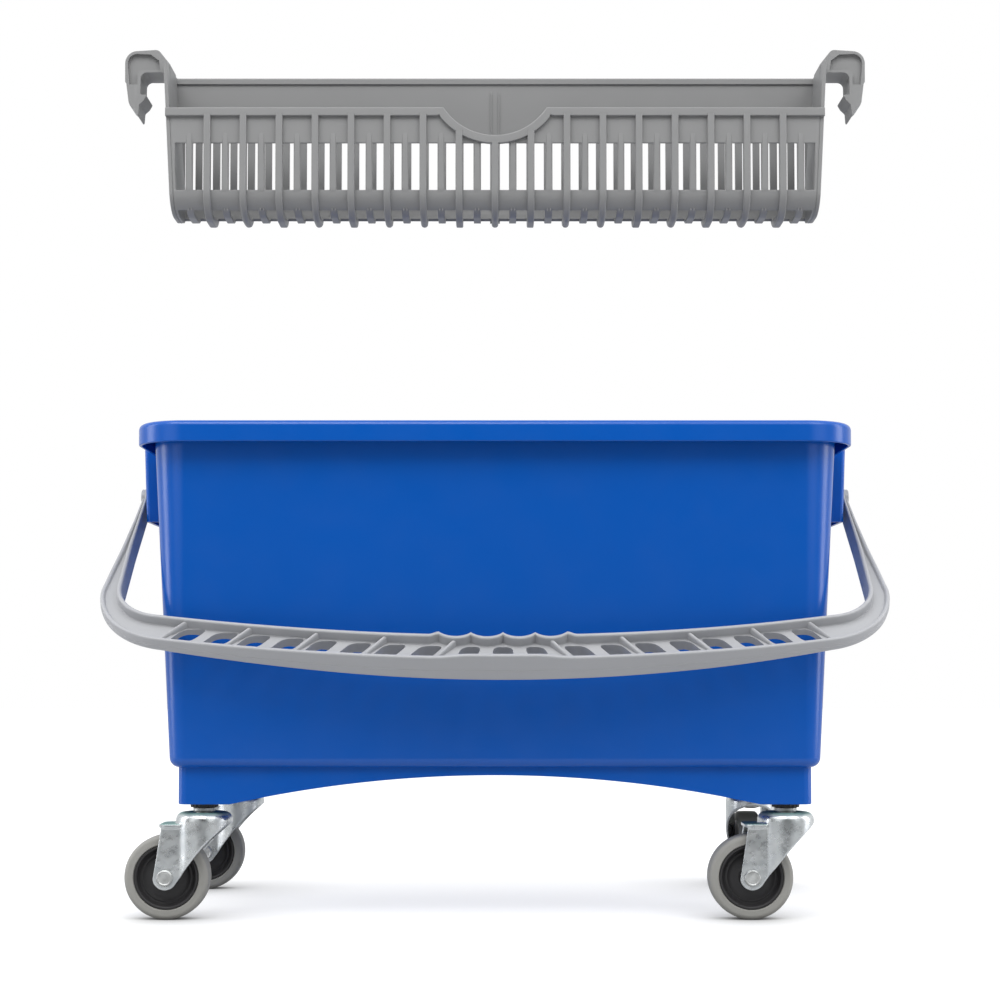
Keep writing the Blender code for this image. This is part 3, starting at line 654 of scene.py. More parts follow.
def make_tread():
    half_w = WHEEL_W / 2
    inner_r = HUB_R + 0.02
    right = [(inner_r, half_w - 0.7), (inner_r + 0.7, half_w)]
    right += arc((WHEEL_R - 3.4, half_w - 3.4), 3.4, 90, 20, 8)
    right.append((WHEEL_R, half_w - 5.5))
    left = [(r, -y) for r, y in right]
    bm = bmesh.new()
    turned(bm, left + right[::-1], 128, (-TRAIL, 0.0, WHEEL_R), "Y", closed=True)
    return solid("tread", bm)


def place_castors():
    parts = {
        "fork": (make_fork(), "swivel", "zinc_plate", 60.0),
        "ball_race": (make_race(), "swivel", "bright_steel", 32.0),
        "axle_rivet": (make_axle(), "swivel", "bright_steel", 32.0),
        "wheel_hub": (make_hub(), "wheel", "black_plastic", 45.0),
        "tread": (make_tread(), "wheel", "grey_tread", 45.0),
        "stem": (make_stem(), "bucket", "bright_steel", 32.0),
        "stem_socket": (make_socket(), "bucket", "black_plastic", 32.0),
    }
    joints = {joint["name"]: joint for joint in frame["joints"]}
    for name in PLACES:
        stem = Vector(joints["swivel_" + name]["pos_m"])
        wheel = Vector(joints["wheel_" + name]["pos_m"])
        away = wheel - stem
        turn = math.atan2(-away.y, -away.x)
        matrix = Matrix.Translation((stem.x, stem.y, 0.0)) @ Matrix.Rotation(turn, 4, "Z")
        for part, (model, kind, slot, sharp) in parts.items():
            body = kind if kind == "bucket" else f"{kind}_{name}"
            node = f"{part}_{name}"
            place(copy_of(model), "look_" + node, matrix, body, slot, (node,), sharp)
    for model, _, _, _ in parts.values():
        bpy.data.objects.remove(model)


# ---------------------------------------------------------------- handle


def bar_out_r(x):
    return OUT_REACH - OUT_SAG * (x / SAG_AT_X) ** 2


def bar_in_r(x):
    return IN_REACH - IN_SAG * (x / SAG_AT_X) ** 2


def grip_wave(x):
    """How far the finger grip moves the inner flange: pointed crests with round valleys between."""
    half = GRIP_PITCH * (GRIP_CRESTS - 1) / 2
    crest = -2.9
    valley = 1.7
    if abs(x) >= half:
        return crest * (1 - smooth((abs(x) - half) / 7.0))
    share = ((x + half) / GRIP_PITCH) % 1.0
    return crest + (valley - crest) * (4 * share * (1 - share)) ** 0.8


def along(points, r):
    """Value of a piecewise line of (r, value) points."""
    for (r0, v0), (r1, v1) in zip(points, points[1:]):
        if r <= r1:
            break
    return lerp(v0, v1, (r - r0) / (r1 - r0))


def handle_stations():
    """Sections from the right pivot to the bar's middle. Each holds the outer and inner edge as
    (x, r), the height of the outer and inner flange, their depths, and the web's depth."""
    out_line = [(-9.4, 268.2), (0.0, 268.5), (35.0, 271.0), (70.0, 274.5), (98.0, 278.0), (120.6, OUT_X)]
    in_line = [(-9.4, 263.8), (0.0, 263.8), (35.0, 264.4), (70.0, 265.0), (98.0, IN_X), (121.8, IN_X)]
    stations = []
    for angle in (84, 70, 55, 40, 20, 0):
        r = -9.3 * math.sin(math.radians(angle))
        size = 8.8 * math.cos(math.radians(angle))
        edges = ((along(out_line, r), r), (along(in_line, r), r))
        stations.append((*edges, size * 0.55 + 0.4, size, size * 0.7 + 0.3, size, 1.2))
    end = math.radians(80)
    out_x = OUT_X - OUT_R
    out_r = bar_out_r(out_x + OUT_R * math.cos(end)) - OUT_R * math.sin(end)
    in_x = IN_X - IN_R
    in_r = bar_in_r(in_x + IN_R * math.cos(end)) - IN_R * math.sin(end)
    outer_arc = arc((out_x, out_r), OUT_R, 0, 80, 26)
    inner_arc = arc((in_x, in_r), IN_R, 0, 80, 26)
    arm_steps = 26
    for i in range(1, arm_steps):
        share = i / arm_steps
        r_out = share * out_r
        r_in = share * in_r
        edges = ((along(out_line, r_out), r_out), (along(in_line, r_in), r_in))
        stations.append((*edges, 3.5, 8.5, 5.2, 9.0, 1.25))
    for i in range(27):
        share = i / 26
        depths = (lerp(5.2, 6.6, share), lerp(9.0, 3.6, share), lerp(1.25, 2.6, share))
        stations.append((outer_arc[i], inner_arc[i], 3.5, 8.5, *depths))
    bar_steps = 150
    for i in range(bar_steps - 1, -1, -1):
        share = i / bar_steps
        x_out = outer_arc[-1][0] * share
        x_in = inner_arc[-1][0] * share
        grown = math.cos(share * math.pi / 2)
        rise = 3.5 + 2.4 * grown + 2.3 * (1 - smooth((x_out - 22) / 26))
        in_depth = lerp(3.6, 11.0, grown)
        web = min(7.0, in_depth - 1.0)
        inner = (x_in, bar_in_r(x_in) + grip_wave(x_in))
        stations.append(((x_out, bar_out_r(x_out)), inner, rise, 8.5, lerp(6.6, 13.6, grown), in_depth, web))
    return stations


def handle_ring(station):
    """Cross-section: a web between two round-edged flanges, as points of x, -n and -r."""
    (out_x, out_r), (in_x, in_r), out_up, in_up, out_down, in_down, web_down = station
    outer = Vector((out_x, -out_r))
    inner = Vector((in_x, -in_r))
    width = (inner - outer).length
    inward = (inner - outer) / width
    flange = FLANGE_T if width > 3 * FLANGE_T else width * 0.32
    tip = flange * 0.45
    web_up = min(1.25, out_up * 0.7)
    web_down = min(web_down, in_down * 0.7, out_down * 0.7)
    far = width - flange
    seam = out_up - 0.61 * (out_up + out_down)
    section = arc((tip, out_up - tip), tip, 180, 90, 4)
    section += arc((flange - tip, out_up - tip), tip, 90, 0, 4)
    section += [(flange + 0.1, web_up + 0.5), (flange + 0.6, web_up)]
    section += [(far - 0.6, web_up), (far - 0.1, web_up + 0.5)]
    section += arc((far + tip, in_up - tip), tip, 180, 90, 4)
    section += arc((width - tip, in_up - tip), tip, 90, 0, 4)
    section += arc((width - tip, -in_down + tip), tip, 0, -90, 4)
    section += arc((far + tip, -in_down + tip), tip, -90, -180, 4)
    section += [(far - 0.1, -web_down - 0.3), (far - 0.4, -web_down)]
    section += [(flange + 0.4, -web_down), (flange + 0.1, -web_down - 0.3)]
    section += arc((flange - tip, -out_down + tip), tip, 0, -90, 4)
    section += arc((tip, -out_down + tip), tip, -90, -180, 4)
    for across, above in ((0.0, -0.55), (-0.3, -0.25), (-0.3, 0.25), (0.0, 0.55)):
        section.append((across, seam + above))
    ring = []
    for across, n in section:
        point = outer + inward * across
        ring.append((point.x, -n, point.y))
    return ring


def rounded(corners, reach, steps=6):
    """A polygon with each corner replaced by a curve that starts and ends at reach from it."""
    outline = []
    for i, corner in enumerate(corners):
        here = Vector(corner)
        start = here + (Vector(corners[i - 1]) - here).normalized() * reach
        end = here + (Vector(corners[(i + 1) % len(corners)]) - here).normalized() * reach
        for k in range(steps + 1):
            share = k / steps
            outline.append(tuple(start.lerp(here, share).lerp(here.lerp(end, share), share)))
    return outline


def slot_outline(centre_x, half_w, half_r, lean):
    """A slanting slot through the web with round corners, as points of x and -r."""
    middle = (bar_out_r(centre_x) + bar_in_r(centre_x)) / 2 + 0.3
    corners = []
    for side_x, side_r in ((-1, -1), (1, -1), (1, 1), (-1, 1)):
        v = side_r * half_r
        corners.append((centre_x + side_x * half_w + lean * v, -(middle + v)))
    return rounded(corners, 5.2)


def rib_solid(bm, x, side):
    """A slanting rib whose rounded top falls from the inner flange to the outer one."""
    in_r = bar_in_r(x - RIB_SLANT / 2) + 1.6
    out_r = bar_out_r(x + RIB_SLANT / 2 + 2.0) - 1.8
    rings = []
    steps = 8
    for i in range(steps + 1):
        share = i / steps
        r = lerp(in_r, out_r, share)
        centre = side * (x + RIB_SLANT * (share - 0.5))
        top = lerp(6.6, 1.6, share ** 1.15)
        half = lerp(1.9, 1.5, share)
        section = [(-half - 0.25, 0.2), (-half, top - half * 0.8)]
        section += arc((0.0, top - half * 0.8), half, 180, 0, 6)[1:-1]
        section += [(half, top - half * 0.8), (half + 0.25, 0.2)]
        rings.append([(centre + u, -n, -r) for u, n in section])
    loft(bm, rings)


def make_handle():
    half = [handle_ring(station) for station in handle_stations()]
    rings = half + [[(-x, y, z) for x, y, z in ring] for ring in reversed(half[:-1])]
    bm = bmesh.new()
    loft(bm, rings)
    handle = solid("handle", bm)

    # Radius and distance from the boss's face: the stud in the bore, and the cap outside
    stud = [(7.0, -9.0), (8.0, -7.0), (8.0, -5.0), (6.0, -5.0), (6.0, 2.0)]
    cap = [(6.4, 3.0), (6.4, 6.6), (5.8, 7.2), (4.4, 7.2), (3.8, 6.6)]
    bm = bmesh.new()
    for side in (-1, 1):
        for profile in (stud, cap):
            turned(bm, [(r, side * (BOSS_OUT_X + x)) for r, x in profile], 40, axis="X")
    for x in RIB_X:
        for side in (-1, 1):
            rib_solid(bm, x, side)
    boolean(handle, solid("handle_additions", bm), "UNION")

    lean = RIB_SLANT / (OUT_REACH - IN_REACH)
    bm = bmesh.new()
    slots = [(0.0, 7.0, 0.0), (-23.5, 6.8, -0.35), (23.5, 6.8, 0.35)]
    for near, far in zip(RIB_X, RIB_X[1:]):
        for share in (0.275, 0.78):
            x = lerp(near, far, share)
            slots += [(x, 8.0, lean), (-x, 8.0, -lean)]
    for x, half_w, slant in slots:
        prism(bm, slot_outline(x, half_w, 6.6, slant), -4.0, 12.0)
    boolean(handle, solid("handle_slots", bm), "DIFFERENCE")
    # The grip sits a little off the middle, fading out towards the arms
    for vertex in handle.data.vertices:
        vertex.co.x += GRIP_SHIFT * (1 - smooth((abs(vertex.co.x) - 130) / 130))
    return handle


# ---------------------------------------------------------------- basket


def basket_half_x(z):
    return lerp(BASKET_HALF_LOW, BASKET_HALF_TOP, z / BASKET_BACK_H)


def notch_top(x):
    """Height of the front wall's top edge, which dips in a round notch at the middle."""
    if abs(x) >= NOTCH_R:
        return BASKET_FRONT_H
    dip = BASKET_FRONT_H - NOTCH_DEPTH + NOTCH_R - math.sqrt(NOTCH_R**2 - x * x)
    return min(dip, BASKET_FRONT_H)


def trough_path(out=0.0):
    """The trough's section from its front slot's top, under the floor, to its back slot's top, as
    (y, z, slotted) where the last value tells whether slots cut the span that follows."""
    radius = BASKET_EDGE_R + out
    front = (-BASKET_HALF_Y + BASKET_EDGE_R, BASKET_EDGE_R)
    back = (BASKET_HALF_Y - BASKET_EDGE_R, BASKET_EDGE_R)
    floor_start = 51.0
    path = [(-BASKET_HALF_Y - out, FRONT_SLOT_HIGH, True), (-BASKET_HALF_Y - out, SLOT_LOW, False)]
    path += [(y, z, False) for y, z in arc(front, radius, 180, 180 + floor_start, 5)[:-1]]
    path += [(y, z, True) for y, z in arc(front, radius, 180 + floor_start, 270, 4)]
    path += [(y, z, True) for y, z in arc(back, radius, 270, 360 - floor_start, 4)[:-1]]
    path += [(y, z, False) for y, z in arc(back, radius, 360 - floor_start, 360, 5)]
    path += [(BASKET_HALF_Y + out, SLOT_LOW, True), (BASKET_HALF_Y + out, BACK_SLOT_HIGH, False)]
    return path


def x_stations():
    """Places along the basket where the sheet's columns stand, as (x, whether a slot follows)."""
    middles = [(index + 0.5) * BAR_PITCH for index in range(-SLOTS_PER_SIDE, SLOTS_PER_SIDE)]
    edges = []
    for x in middles:
        edges += [(x - SLOT_W / 2, True), (x, True), (x + SLOT_W / 2, False)]
    under_notch = [-36.9, 36.9] + [index * BAR_PITCH for index in range(-3, 4)]
    fine = [(x, False) for x in under_notch if all(abs(x - edge) > 0.2 for edge, _ in edges)]
    ends = [(-BASKET_HALF_LOW + 2.0, False), (BASKET_HALF_LOW - 2.0, False)]
    stations = []
    for x, starts in sorted(edges + ends + fine):
        in_slot = any(abs(x - middle) < SLOT_W / 2 - 0.1 for middle in middles)
        stations.append((x, starts or in_slot))
    return stations


def make_trough():
    """The slotted sheet, thickened inwards."""
    bm = bmesh.new()
    stations = x_stations()
    section = [(-BASKET_HALF_Y, None, False)] + trough_path()
    section += [(BASKET_HALF_Y, BASKET_FRONT_H - 7, False), (BASKET_HALF_Y, BASKET_BACK_H, False)]
    grid = []
    for x, _ in stations:
        column = []
        for y, z, _ in section:
            height = notch_top(x) if z is None else z
            at_end = abs(x) > BASKET_HALF_LOW - 3
            short = 1.3 if y > 0 and height >= BASKET_FRONT_H - 7 else 4.1
            end_x = max(basket_half_x(height) - short, BASKET_HALF_LOW - 2.7)
            place_x = math.copysign(end_x, x) if at_end else x
            column.append(bm.verts.new((place_x, y, height)))
        grid.append(column)
    for i in range(len(grid) - 1):
        for k in range(len(section) - 1):
            if stations[i][1] and section[k][2]:
                continue
            bm.faces.new((grid[i][k], grid[i + 1][k], grid[i + 1][k + 1], grid[i][k + 1]))
    bmesh.ops.delete(bm, geom=[vert for vert in bm.verts if not vert.link_faces], context="VERTS")
    bmesh.ops.recalc_face_normals(bm, faces=bm.faces)
    if sum(face.normal.z for face in bm.faces if abs(face.calc_center_median().z) < 1) > 0:
        bmesh.ops.reverse_faces(bm, faces=bm.faces)
    trough = object_from("trough", bm)
    add_modifier(trough, "SOLIDIFY", thickness=BASKET_WALL, offset=-1.0, use_even_offset=True)
    apply_modifiers(trough)
    bevel(trough, 0.35, 50.0)
    return trough


def rib_path(top):
    """The line an outer rib follows down the front wall from top, under the floor and up the back
    wall, as (y, z, outward y, outward z, how far it is underneath)."""
    path = []
    for share in (1.0, 0.65, 0.3, 0.1):
        path.append((-BASKET_HALF_Y, lerp(BASKET_EDGE_R, top, share), -1.0, 0.0, 0.0))
    for side, start in ((-1, 180), (1, 270)):
        centre_y = side * (BASKET_HALF_Y - BASKET_EDGE_R)
        for i in range(9):
            angle = math.radians(start + 90 * i / 8)
            out_y = math.cos(angle)
            out_z = math.sin(angle)
            y = centre_y + BASKET_EDGE_R * out_y
            path.append((y, BASKET_EDGE_R + BASKET_EDGE_R * out_z, out_y, out_z, -out_z))
    path.append((BASKET_HALF_Y, RIB_BACK_Z, 1.0, 0.0, 0.0))
    return path


def outer_rib(bm, x, square):
    """A rib that stands proud of the sheet. A square one keeps its edges sharp underneath."""
    half = RIB_W / 2
    rings = []
    for y, z, out_y, out_z, under in rib_path(notch_top(x) - 4.5):
        edge = 0.8 if square else lerp(0.8, half * 0.96, under)
        section = [(-half, -1.2), (-half, RIB_OUT - edge)]
        section += arc((-half + edge, RIB_OUT - edge), edge, 180, 90, 5)[1:]
        section += arc((half - edge, RIB_OUT - edge), edge, 90, 0, 5)[:-1]
        section += [(half, RIB_OUT - edge), (half, -1.2)]
        rings.append([(x + u, y + out_y * v, z + out_z * v) for u, v in section])
    loft(bm, rings)


def proud_bar(bm, x):
    """The slight swelling of a bar between two ribs, which fades out at both ends."""
    y = -BASKET_HALF_Y
    levels = [(SLOT_LOW - 1, 2.5, 0.1), (SLOT_LOW + 2, 2.5, 0.6)]
    levels += [(FRONT_SLOT_HIGH, 2.1, 0.6), (58, 1.9, 0.1)]
    rings = []
    for z, half, proud in levels:
        ring = [(x - half, y + 0.8, z), (x - half + 0.4, y - proud, z)]
        ring += [(x + half - 0.4, y - proud, z), (x + half, y + 0.8, z)]
        rings.append(ring)
    loft(bm, rings)


def pips(bm, x):
    """Two small pips on the round lower edge of a bar."""
    centre = (-BASKET_HALF_Y + BASKET_EDGE_R, BASKET_EDGE_R)
    for shift in (-1.1, 1.1):
        rings = []
        for out, half_x, half_z in ((-0.5, 0.5, 1.1), (0.8, 0.3, 0.8)):
            y, z = arc(centre, BASKET_EDGE_R + out, 226, 226, 1)[0]
            corners = ((-half_x, -half_z), (half_x, -half_z), (half_x, half_z), (-half_x, half_z))
            rings.append([(x + shift + u, y, z + v) for u, v in corners])
        loft(bm, rings)


def make_ribs():
    bm = bmesh.new()
    for index in range(-RIBS_PER_SIDE, RIBS_PER_SIDE + 1):
        outer_rib(bm, 2 * index * BAR_PITCH, abs(index) in SQUARE_RIBS)
    for index in range(-RIBS_PER_SIDE - 1, RIBS_PER_SIDE + 1):
        proud_bar(bm, (2 * index + 1) * BAR_PITCH)
        pips(bm, (2 * index + 1) * BAR_PITCH)
    return solid("outer_ribs", bm)


def sweep(bm, path, section):
    """Sweeps a section of (outward y, height) along a path of (x, z, tangent x, tangent z)."""
    rings = []
    for x, z, tx, tz in path:
        rings.append([(x - tz * v, -BASKET_HALF_Y - u, z + tx * v) for u, v in section])
    loft(bm, rings)


def make_lips():
    """The front lip, which follows the notch, and the back wall's top bead and middle rib."""
    end_x = BASKET_HALF_TOP - 1.9
    corner = math.sqrt(NOTCH_R**2 - (NOTCH_R - NOTCH_DEPTH) ** 2)
    path = [(-end_x, BASKET_FRONT_H, 1.0, 0.0), (-corner - 5, BASKET_FRONT_H, 1.0, 0.0)]
    start = -math.degrees(math.acos((NOTCH_R - NOTCH_DEPTH) / NOTCH_R))
    centre_z = BASKET_FRONT_H - NOTCH_DEPTH + NOTCH_R
    steps = 40
    for i in range(steps + 1):
        angle = math.radians(lerp(start, -start, i / steps))
        blend = min(1.0, 1.15 * (1 - abs(2 * i / steps - 1) ** 8))
        tilt = angle * lerp(0.5, 1.0, blend)
        x = NOTCH_R * math.sin(angle)
        z = centre_z - NOTCH_R * math.cos(angle)
        path.append((x, z, math.cos(tilt), math.sin(tilt)))
    path += [(corner + 5, BASKET_FRONT_H, 1.0, 0.0), (end_x, BASKET_FRONT_H, 1.0, 0.0)]
    section = [(-2.6, -5.2), (-2.6, -0.3)]
    section += arc((-2.0, -0.6), 0.6, 180, 90, 2)
    section += arc((1.6, -0.8), 0.8, 90, 0, 4)
    section += arc((1.8, -5.4), 0.6, 0, -90, 3)
    section.append((-0.5, -6.0))
    bm = bmesh.new()
    sweep(bm, path, section)
    front = solid("front_lip", bm)

    bm = bmesh.new()
    top = BASKET_BACK_H + 1.0
    inner_y = BASKET_HALF_Y - BASKET_WALL
    bead = [(inner_y - 1.4, top - 4.4), (inner_y - 1.4, top - 1.0)]
    bead += arc((inner_y - 0.4, top - 1.0), 1.0, 180, 90, 3)
    bead += arc((BASKET_HALF_Y + 0.2, top - 0.8), 0.8, 90, 0, 3)
    bead += [(BASKET_HALF_Y + 1.0, top - 3.4), (BASKET_HALF_Y - 1.0, top - 4.0)]
    bead.append((inner_y + 0.6, top - 5.6))
    prism(bm, bead, -BASKET_HALF_TOP + 2, BASKET_HALF_TOP - 2, "X")
    for side in (-1, 1):
        x = side * 2.9
        rings = []
        for z, out in ((3.0, 0.9), (98.0, 0.9), (101.5, 0.1)):
            ring = [(x - 0.7, inner_y + 0.8, z), (x - 0.45, inner_y - out, z)]
            ring += [(x + 0.45, inner_y - out, z), (x + 0.7, inner_y + 0.8, z)]
            rings.append(ring)
        loft(bm, rings)
    back = solid("back_bead", bm)
    return [front, back]


def end_outline(out, top_z):
    """The trough's section as a closed outline of y and z, moved out from its outer face."""
    radius = max(BASKET_EDGE_R + out, 1.0)
    half_y = BASKET_HALF_Y
    outline = [(-half_y - out, top_z)]
    outline += arc((-half_y + BASKET_EDGE_R, BASKET_EDGE_R), radius, 180, 270, 10)
    outline += arc((half_y - BASKET_EDGE_R, BASKET_EDGE_R), radius, 270, 360, 10)
    outline.append((half_y + out, top_z))
    return outline


def make_ends():
    """End walls: a thin full-height plate, and below the lip a thicker one with a round edge."""
    bm = bmesh.new()
    for side in (-1, 1):
        for top_z, thick, round_r, shift in ((70.5, 3.9, 3.4, -0.9), (BASKET_BACK_H + 1, 2.6, 0.7, 0.0)):
            rings = []
            steps = 7
            levels = [(-thick, -END_STEP)]
            for i in range(steps + 1):
                angle = math.radians(90 * i / steps)
                levels.append((-round_r * (1 - math.sin(angle)), -END_STEP - round_r * (1 - math.cos(angle))))
            for dx, out in levels:
                lift = out if top_z > 100 else 0.0
                ring = []
                for y, z in end_outline(out, top_z + lift):
                    ring.append((side * (basket_half_x(z) + shift + dx), y, z))
                rings.append(ring)
            loft(bm, rings)
    return solid("end_walls", bm)


def hook_outline():
    """Side view of the right hook: out over the tub's rim and down to a pointed leg with a barb."""
    wall_x = HOOK_WALL_X
    leg_in = HOOK_LEG_IN_X
    leg_out = HOOK_LEG_OUT_X
    gap = HOOK_GAP_TOP
    outline = [(wall_x, gap - 9), (wall_x + 2.6, gap - 7), (wall_x + 2.6, gap - 1.2)]
    outline += arc((wall_x + 3.8, gap - 1.2), 1.2, 180, 90, 3)[1:]
    outline += arc((leg_in - 4.5, gap - 4.5), 4.5, 90, 0, 7)
    outline += [(leg_in + 0.2, gap - 15.8), (leg_in - 3.8, gap - 16.0), (leg_in - 4.2, gap - 16.9)]
    outline += [(leg_in - 2.2, gap - 20.4), (leg_in + 1.0, gap - 23.4), (leg_in + 1.5, gap - 30.0)]
    outline += [(leg_in + 2.1, gap - 31.0), (leg_in + 2.8, gap - 30.4), (leg_in + 4.9, gap - 26.4)]
    outline += [(leg_in + 7.8, gap - 23.8), (leg_in + 8.8, gap - 21.4), (leg_out - 1.1, gap - 9.0)]
    outline += [(leg_out - 1.0, gap - 7.8), (leg_out - 0.1, gap - 6.6)]
    outline += arc((leg_out - 9.0, gap + 7.0), 9.0, 0, 86, 10)
    outline += arc((wall_x + 8.5, gap + 12.4), 4.4, 90, 140, 6)
    outline += [(wall_x - 2.2, gap + 6.0), (wall_x - 2.2, gap - 9)]
    return outline


def pocket_outline():
    """The recess in a hook's face: follows the strap, leaving a border."""
    wall_x = HOOK_WALL_X
    leg_in = HOOK_LEG_IN_X
    gap = HOOK_GAP_TOP
    outline = [(wall_x + 5.0, gap + 2.2), (leg_in - 1.0, gap + 2.2)]
    outline += arc((leg_in - 1.0, gap - 1.2), 3.4, 90, 0, 6)
    outline += [(leg_in + 2.4, gap - 8.6), (leg_in + 8.2, gap - 8.6), (leg_in + 9.4, gap + 4.5)]
    outline += arc((leg_in + 2.8, gap + 7.2), 6.6, 0, 86, 8)
    outline += [(wall_x + 12.0, gap + 13.4), (wall_x + 6.0, gap + 9.0)]
    return outline


def make_hooks():
    hooks = []
    for side in (-1, 1):
        bm = bmesh.new()
        prism(bm, [(side * x, z) for x, z in hook_outline()], -HOOK_HALF_Y, HOOK_HALF_Y)
        hook = solid("hook", bm)
        bevel(hook, 0.7, 30.0)
        bm = bmesh.new()
        pocket = [(side * x, z) for x, z in pocket_outline()]
        prism(bm, pocket, -HOOK_HALF_Y - 2, HOOK_POCKET_DEPTH - HOOK_HALF_Y)
        prism(bm, pocket, HOOK_HALF_Y - HOOK_POCKET_DEPTH, HOOK_HALF_Y + 2)
        boolean(hook, solid("pockets", bm), "DIFFERENCE")
        hooks.append(hook)
    return hooks


# ---------------------------------------------------------------- stage


def area_light(name, where, target, size, power, colour=(1.0, 1.0, 1.0)):
    light = bpy.data.lights.new(name, "AREA")
    light.shape = "RECTANGLE"
    light.size, light.size_y = size
    light.energy = power
    light.color = colour
    obj = bpy.data.objects.new(name, light)
    obj.location = where
    obj.rotation_euler = (Vector(target) - Vector(where)).to_track_quat("-Z", "Y").to_euler()
    bpy.context.scene.collection.objects.link(obj)
    return obj


def make_world():
    """White behind the object. Around it stand bright and dark bands, as panels and flags in a studio
    would, by how far a direction turns from straight ahead; overhead is a bright ceiling."""
    world = bpy.data.worlds.new("studio")
    bpy.context.scene.world = world
    world.use_nodes = True
    nodes = Nodes(world.node_tree)
    nodes.tree.nodes.clear()

    path = nodes.add("ShaderNodeLightPath").outputs
    direction = nodes.add("ShaderNodeTexCoord").outputs["Generated"]
    across, along_y, upwards = nodes.add("ShaderNodeSeparateXYZ", Vector=direction).outputs
    sideways = nodes.maths("ABSOLUTE", across, 0.0)
    ahead = nodes.maths("MULTIPLY", along_y, -1.0)
    turn = nodes.maths("DIVIDE", nodes.maths("ARCTAN2", sideways, ahead), math.pi)
    overhead = nodes.ranged(upwards, 0.0, 1.0, 0.25, 0.75, "SMOOTHSTEP")

    def level(ring, top):
        node = nodes.add("ShaderNodeValToRGB", Fac=turn)
        ramp = node.color_ramp
        for place_at, _ in ring[1:-1]:
            ramp.elements.new(place_at)
        for element, (place_at, grey) in zip(ramp.elements, ring):
            element.position = place_at
            element.color = (grey, grey, grey, 1.0)
        rise = nodes.maths("SUBTRACT", top, node.outputs[0])
        return nodes.maths("ADD", node.outputs[0], nodes.maths("MULTIPLY", rise, overhead))

    diffuse = level(DIFFUSE_RING, DIFFUSE_TOP)
    step = nodes.maths("SUBTRACT", level(GLOSSY_RING, GLOSSY_TOP), diffuse)
    step = nodes.maths("MULTIPLY", step, path["Is Glossy Ray"])
    strength = nodes.maths("ADD", diffuse, step)
    lit = nodes.add("ShaderNodeBackground", Color=(0.97, 0.985, 1.0, 1.0), Strength=strength)
    seen = nodes.add("ShaderNodeBackground", Color=(1.0, 1.0, 1.0, 1.0), Strength=1.0)
    mix = nodes.add("ShaderNodeMixShader", Fac=path["Is Camera Ray"])
    nodes.set(mix.inputs[1], lit.outputs[0])
    nodes.set(mix.inputs[2], seen.outputs[0])
    nodes.add("ShaderNodeOutputWorld", Surface=mix.outputs[0])


def make_floor():
    """White floor. A painted contact shadow darkens it where something stands close to it, and in reflections
    it ends in front of the object."""
    bm = bmesh.new()
    bmesh.ops.create_grid(bm, x_segments=1, y_segments=1, size=6.0)
    floor = object_from("floor", bm)
    s = Shader("floor_white")
    path = s.add("ShaderNodeLightPath").outputs
    y = s.add("ShaderNodeSeparateXYZ", Vector=s.coords).outputs[1]
    fade = s.ranged(y, 0.03, 1.0, *FLOOR_FADE_Y)
    hidden = s.maths("MULTIPLY", s.maths("SUBTRACT", 1.0, fade), path["Is Glossy Ray"])
    # Painted contact shadow: ambient occlusion darkens the floor's glow and colour where something stands
    # close to it.
    painted_contact_shadow = s.add("ShaderNodeAmbientOcclusion", Distance=PAINTED_SHADOW_REACH).outputs["AO"]
    shown = s.maths("MULTIPLY", s.maths("SUBTRACT", 1.0, hidden), painted_contact_shadow)
    glow = s.maths("MULTIPLY", path["Is Camera Ray"], FLOOR_CAMERA_GLOW)
    strength = s.maths("MULTIPLY", s.maths("ADD", FLOOR_GLOW, glow), shown)
    level = s.maths("MULTIPLY", FLOOR_GREY, shown)
    grey = s.add("ShaderNodeCombineColor", Red=level, Green=level, Blue=level).outputs[0]
    white = (1.0, 1.0, 1.0, 1.0)
    s.finish(Base_Color=grey, Roughness=0.9, Specular_IOR_Level=0.1)
    s.finish(Emission_Color=white, Emission_Strength=strength)
    floor.data.materials.append(s.material)


def make_camera(bucket_y):
    camera = bpy.data.cameras.new("camera")
    camera.lens = CAMERA_LENS
    camera.sensor_width = 36.0
    camera.shift_x = 0.005
    camera.shift_y = 0.09
    camera.clip_end = 50.0
    obj = bpy.data.objects.new("camera", camera)
    obj.location = (0.0, bucket_y - CAMERA_AWAY, CAMERA_Z)
    obj.rotation_euler = (math.radians(90 + CAMERA_RISE), 0.0, 0.0)
    bpy.context.scene.collection.objects.link(obj)
    bpy.context.scene.camera = obj


# ---------------------------------------------------------------- assembly

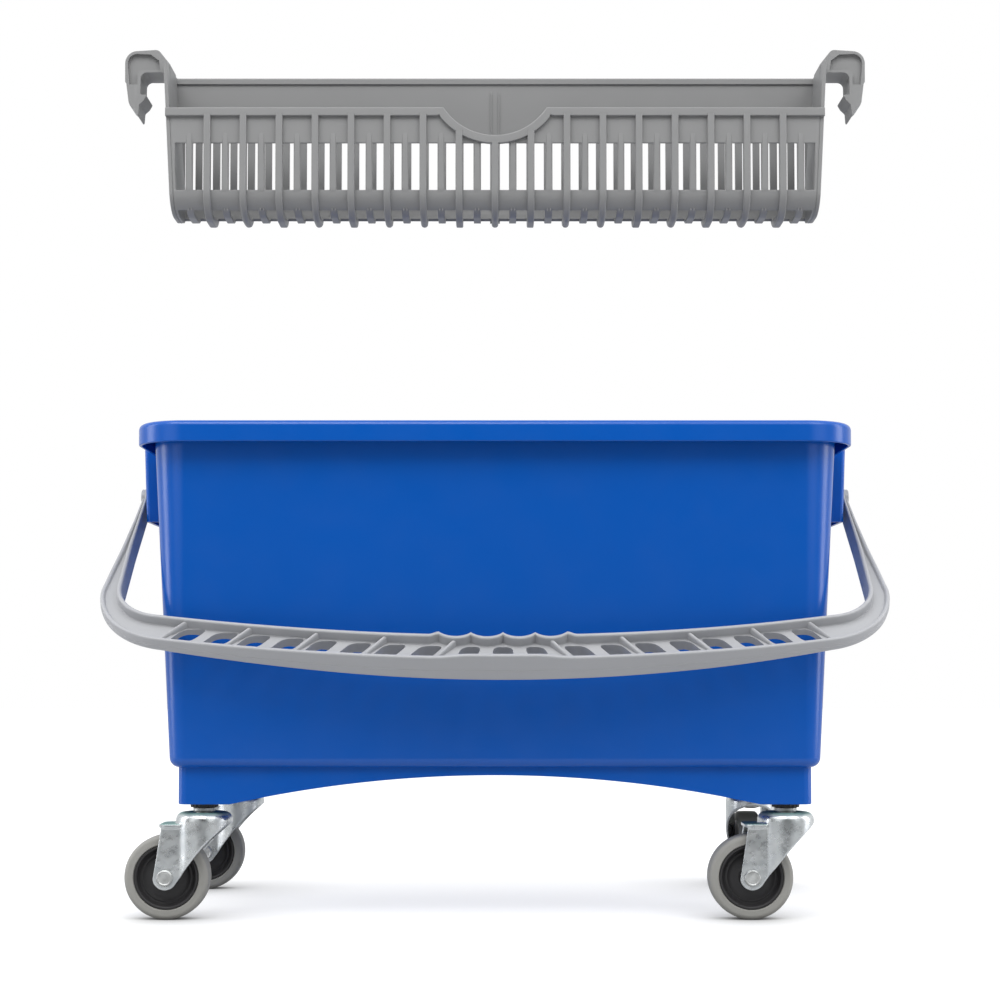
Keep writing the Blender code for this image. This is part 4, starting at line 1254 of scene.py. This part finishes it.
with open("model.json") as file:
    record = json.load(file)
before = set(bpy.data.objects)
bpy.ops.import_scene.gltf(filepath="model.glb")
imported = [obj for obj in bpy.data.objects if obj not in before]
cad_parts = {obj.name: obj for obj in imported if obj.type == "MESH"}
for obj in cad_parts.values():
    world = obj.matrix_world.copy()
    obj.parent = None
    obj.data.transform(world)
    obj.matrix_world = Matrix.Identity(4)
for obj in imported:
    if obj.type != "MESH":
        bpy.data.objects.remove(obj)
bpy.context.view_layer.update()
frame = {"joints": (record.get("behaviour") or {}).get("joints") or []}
MATERIALS = make_materials()

shell_low, shell_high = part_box("bucket_shell")
bucket_y = (shell_low.y + shell_high.y) / 2
at_bucket = Matrix.Translation((0.0, bucket_y, 0.0))
place(make_tub(), "tub", at_bucket, "bucket", "blue_plastic", ("bucket_shell",))

pivot = Vector(next(joint["pos_m"] for joint in frame["joints"] if joint["name"] == "handle_swing"))
at_pivot = Matrix.Translation(pivot) @ Matrix.Rotation(-HANDLE_TILT, 4, "X")
place(make_handle(), "carry_handle", at_pivot, "handle", "light_grey_plastic", ("handle",), 40.0)

basket_low, basket_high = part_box("basket")
basket_y = (basket_low.y + basket_high.y) / 2
at_basket = Matrix.Translation((0.0, basket_y, basket_low.z + RIB_OUT * MM))
place(make_trough(), "basket_trough", at_basket, "basket", "grey_plastic", ("basket",))
place(make_ribs(), "basket_outer_ribs", at_basket, "basket", "grey_plastic")
place(join("basket_lips", make_lips()), "basket_lips", at_basket, "basket", "grey_plastic")
place(make_ends(), "basket_end_walls", at_basket, "basket", "grey_plastic")
place(join("basket_hooks", make_hooks()), "basket_hooks", at_basket, "basket", "grey_plastic")

place_castors()

make_world()
make_floor()
middle = (0.0, bucket_y, 0.3)
area_light("key", (-0.5, -1.1, 1.9), middle, (1.6, 0.9), 22.0)
area_light("fill", (0.9, -1.0, 1.6), middle, (0.9, 0.9), 9.0)
area_light("side_left", (-1.6, -0.1, 0.5), middle, (0.5, 1.4), 7.0, (0.95, 0.95, 1.0))
area_light("side_right", (1.6, -0.1, 0.5), middle, (0.5, 1.4), 7.0, (0.95, 0.95, 1.0))
make_camera(bucket_y)
bpy.context.scene.view_settings.view_transform = "Standard"
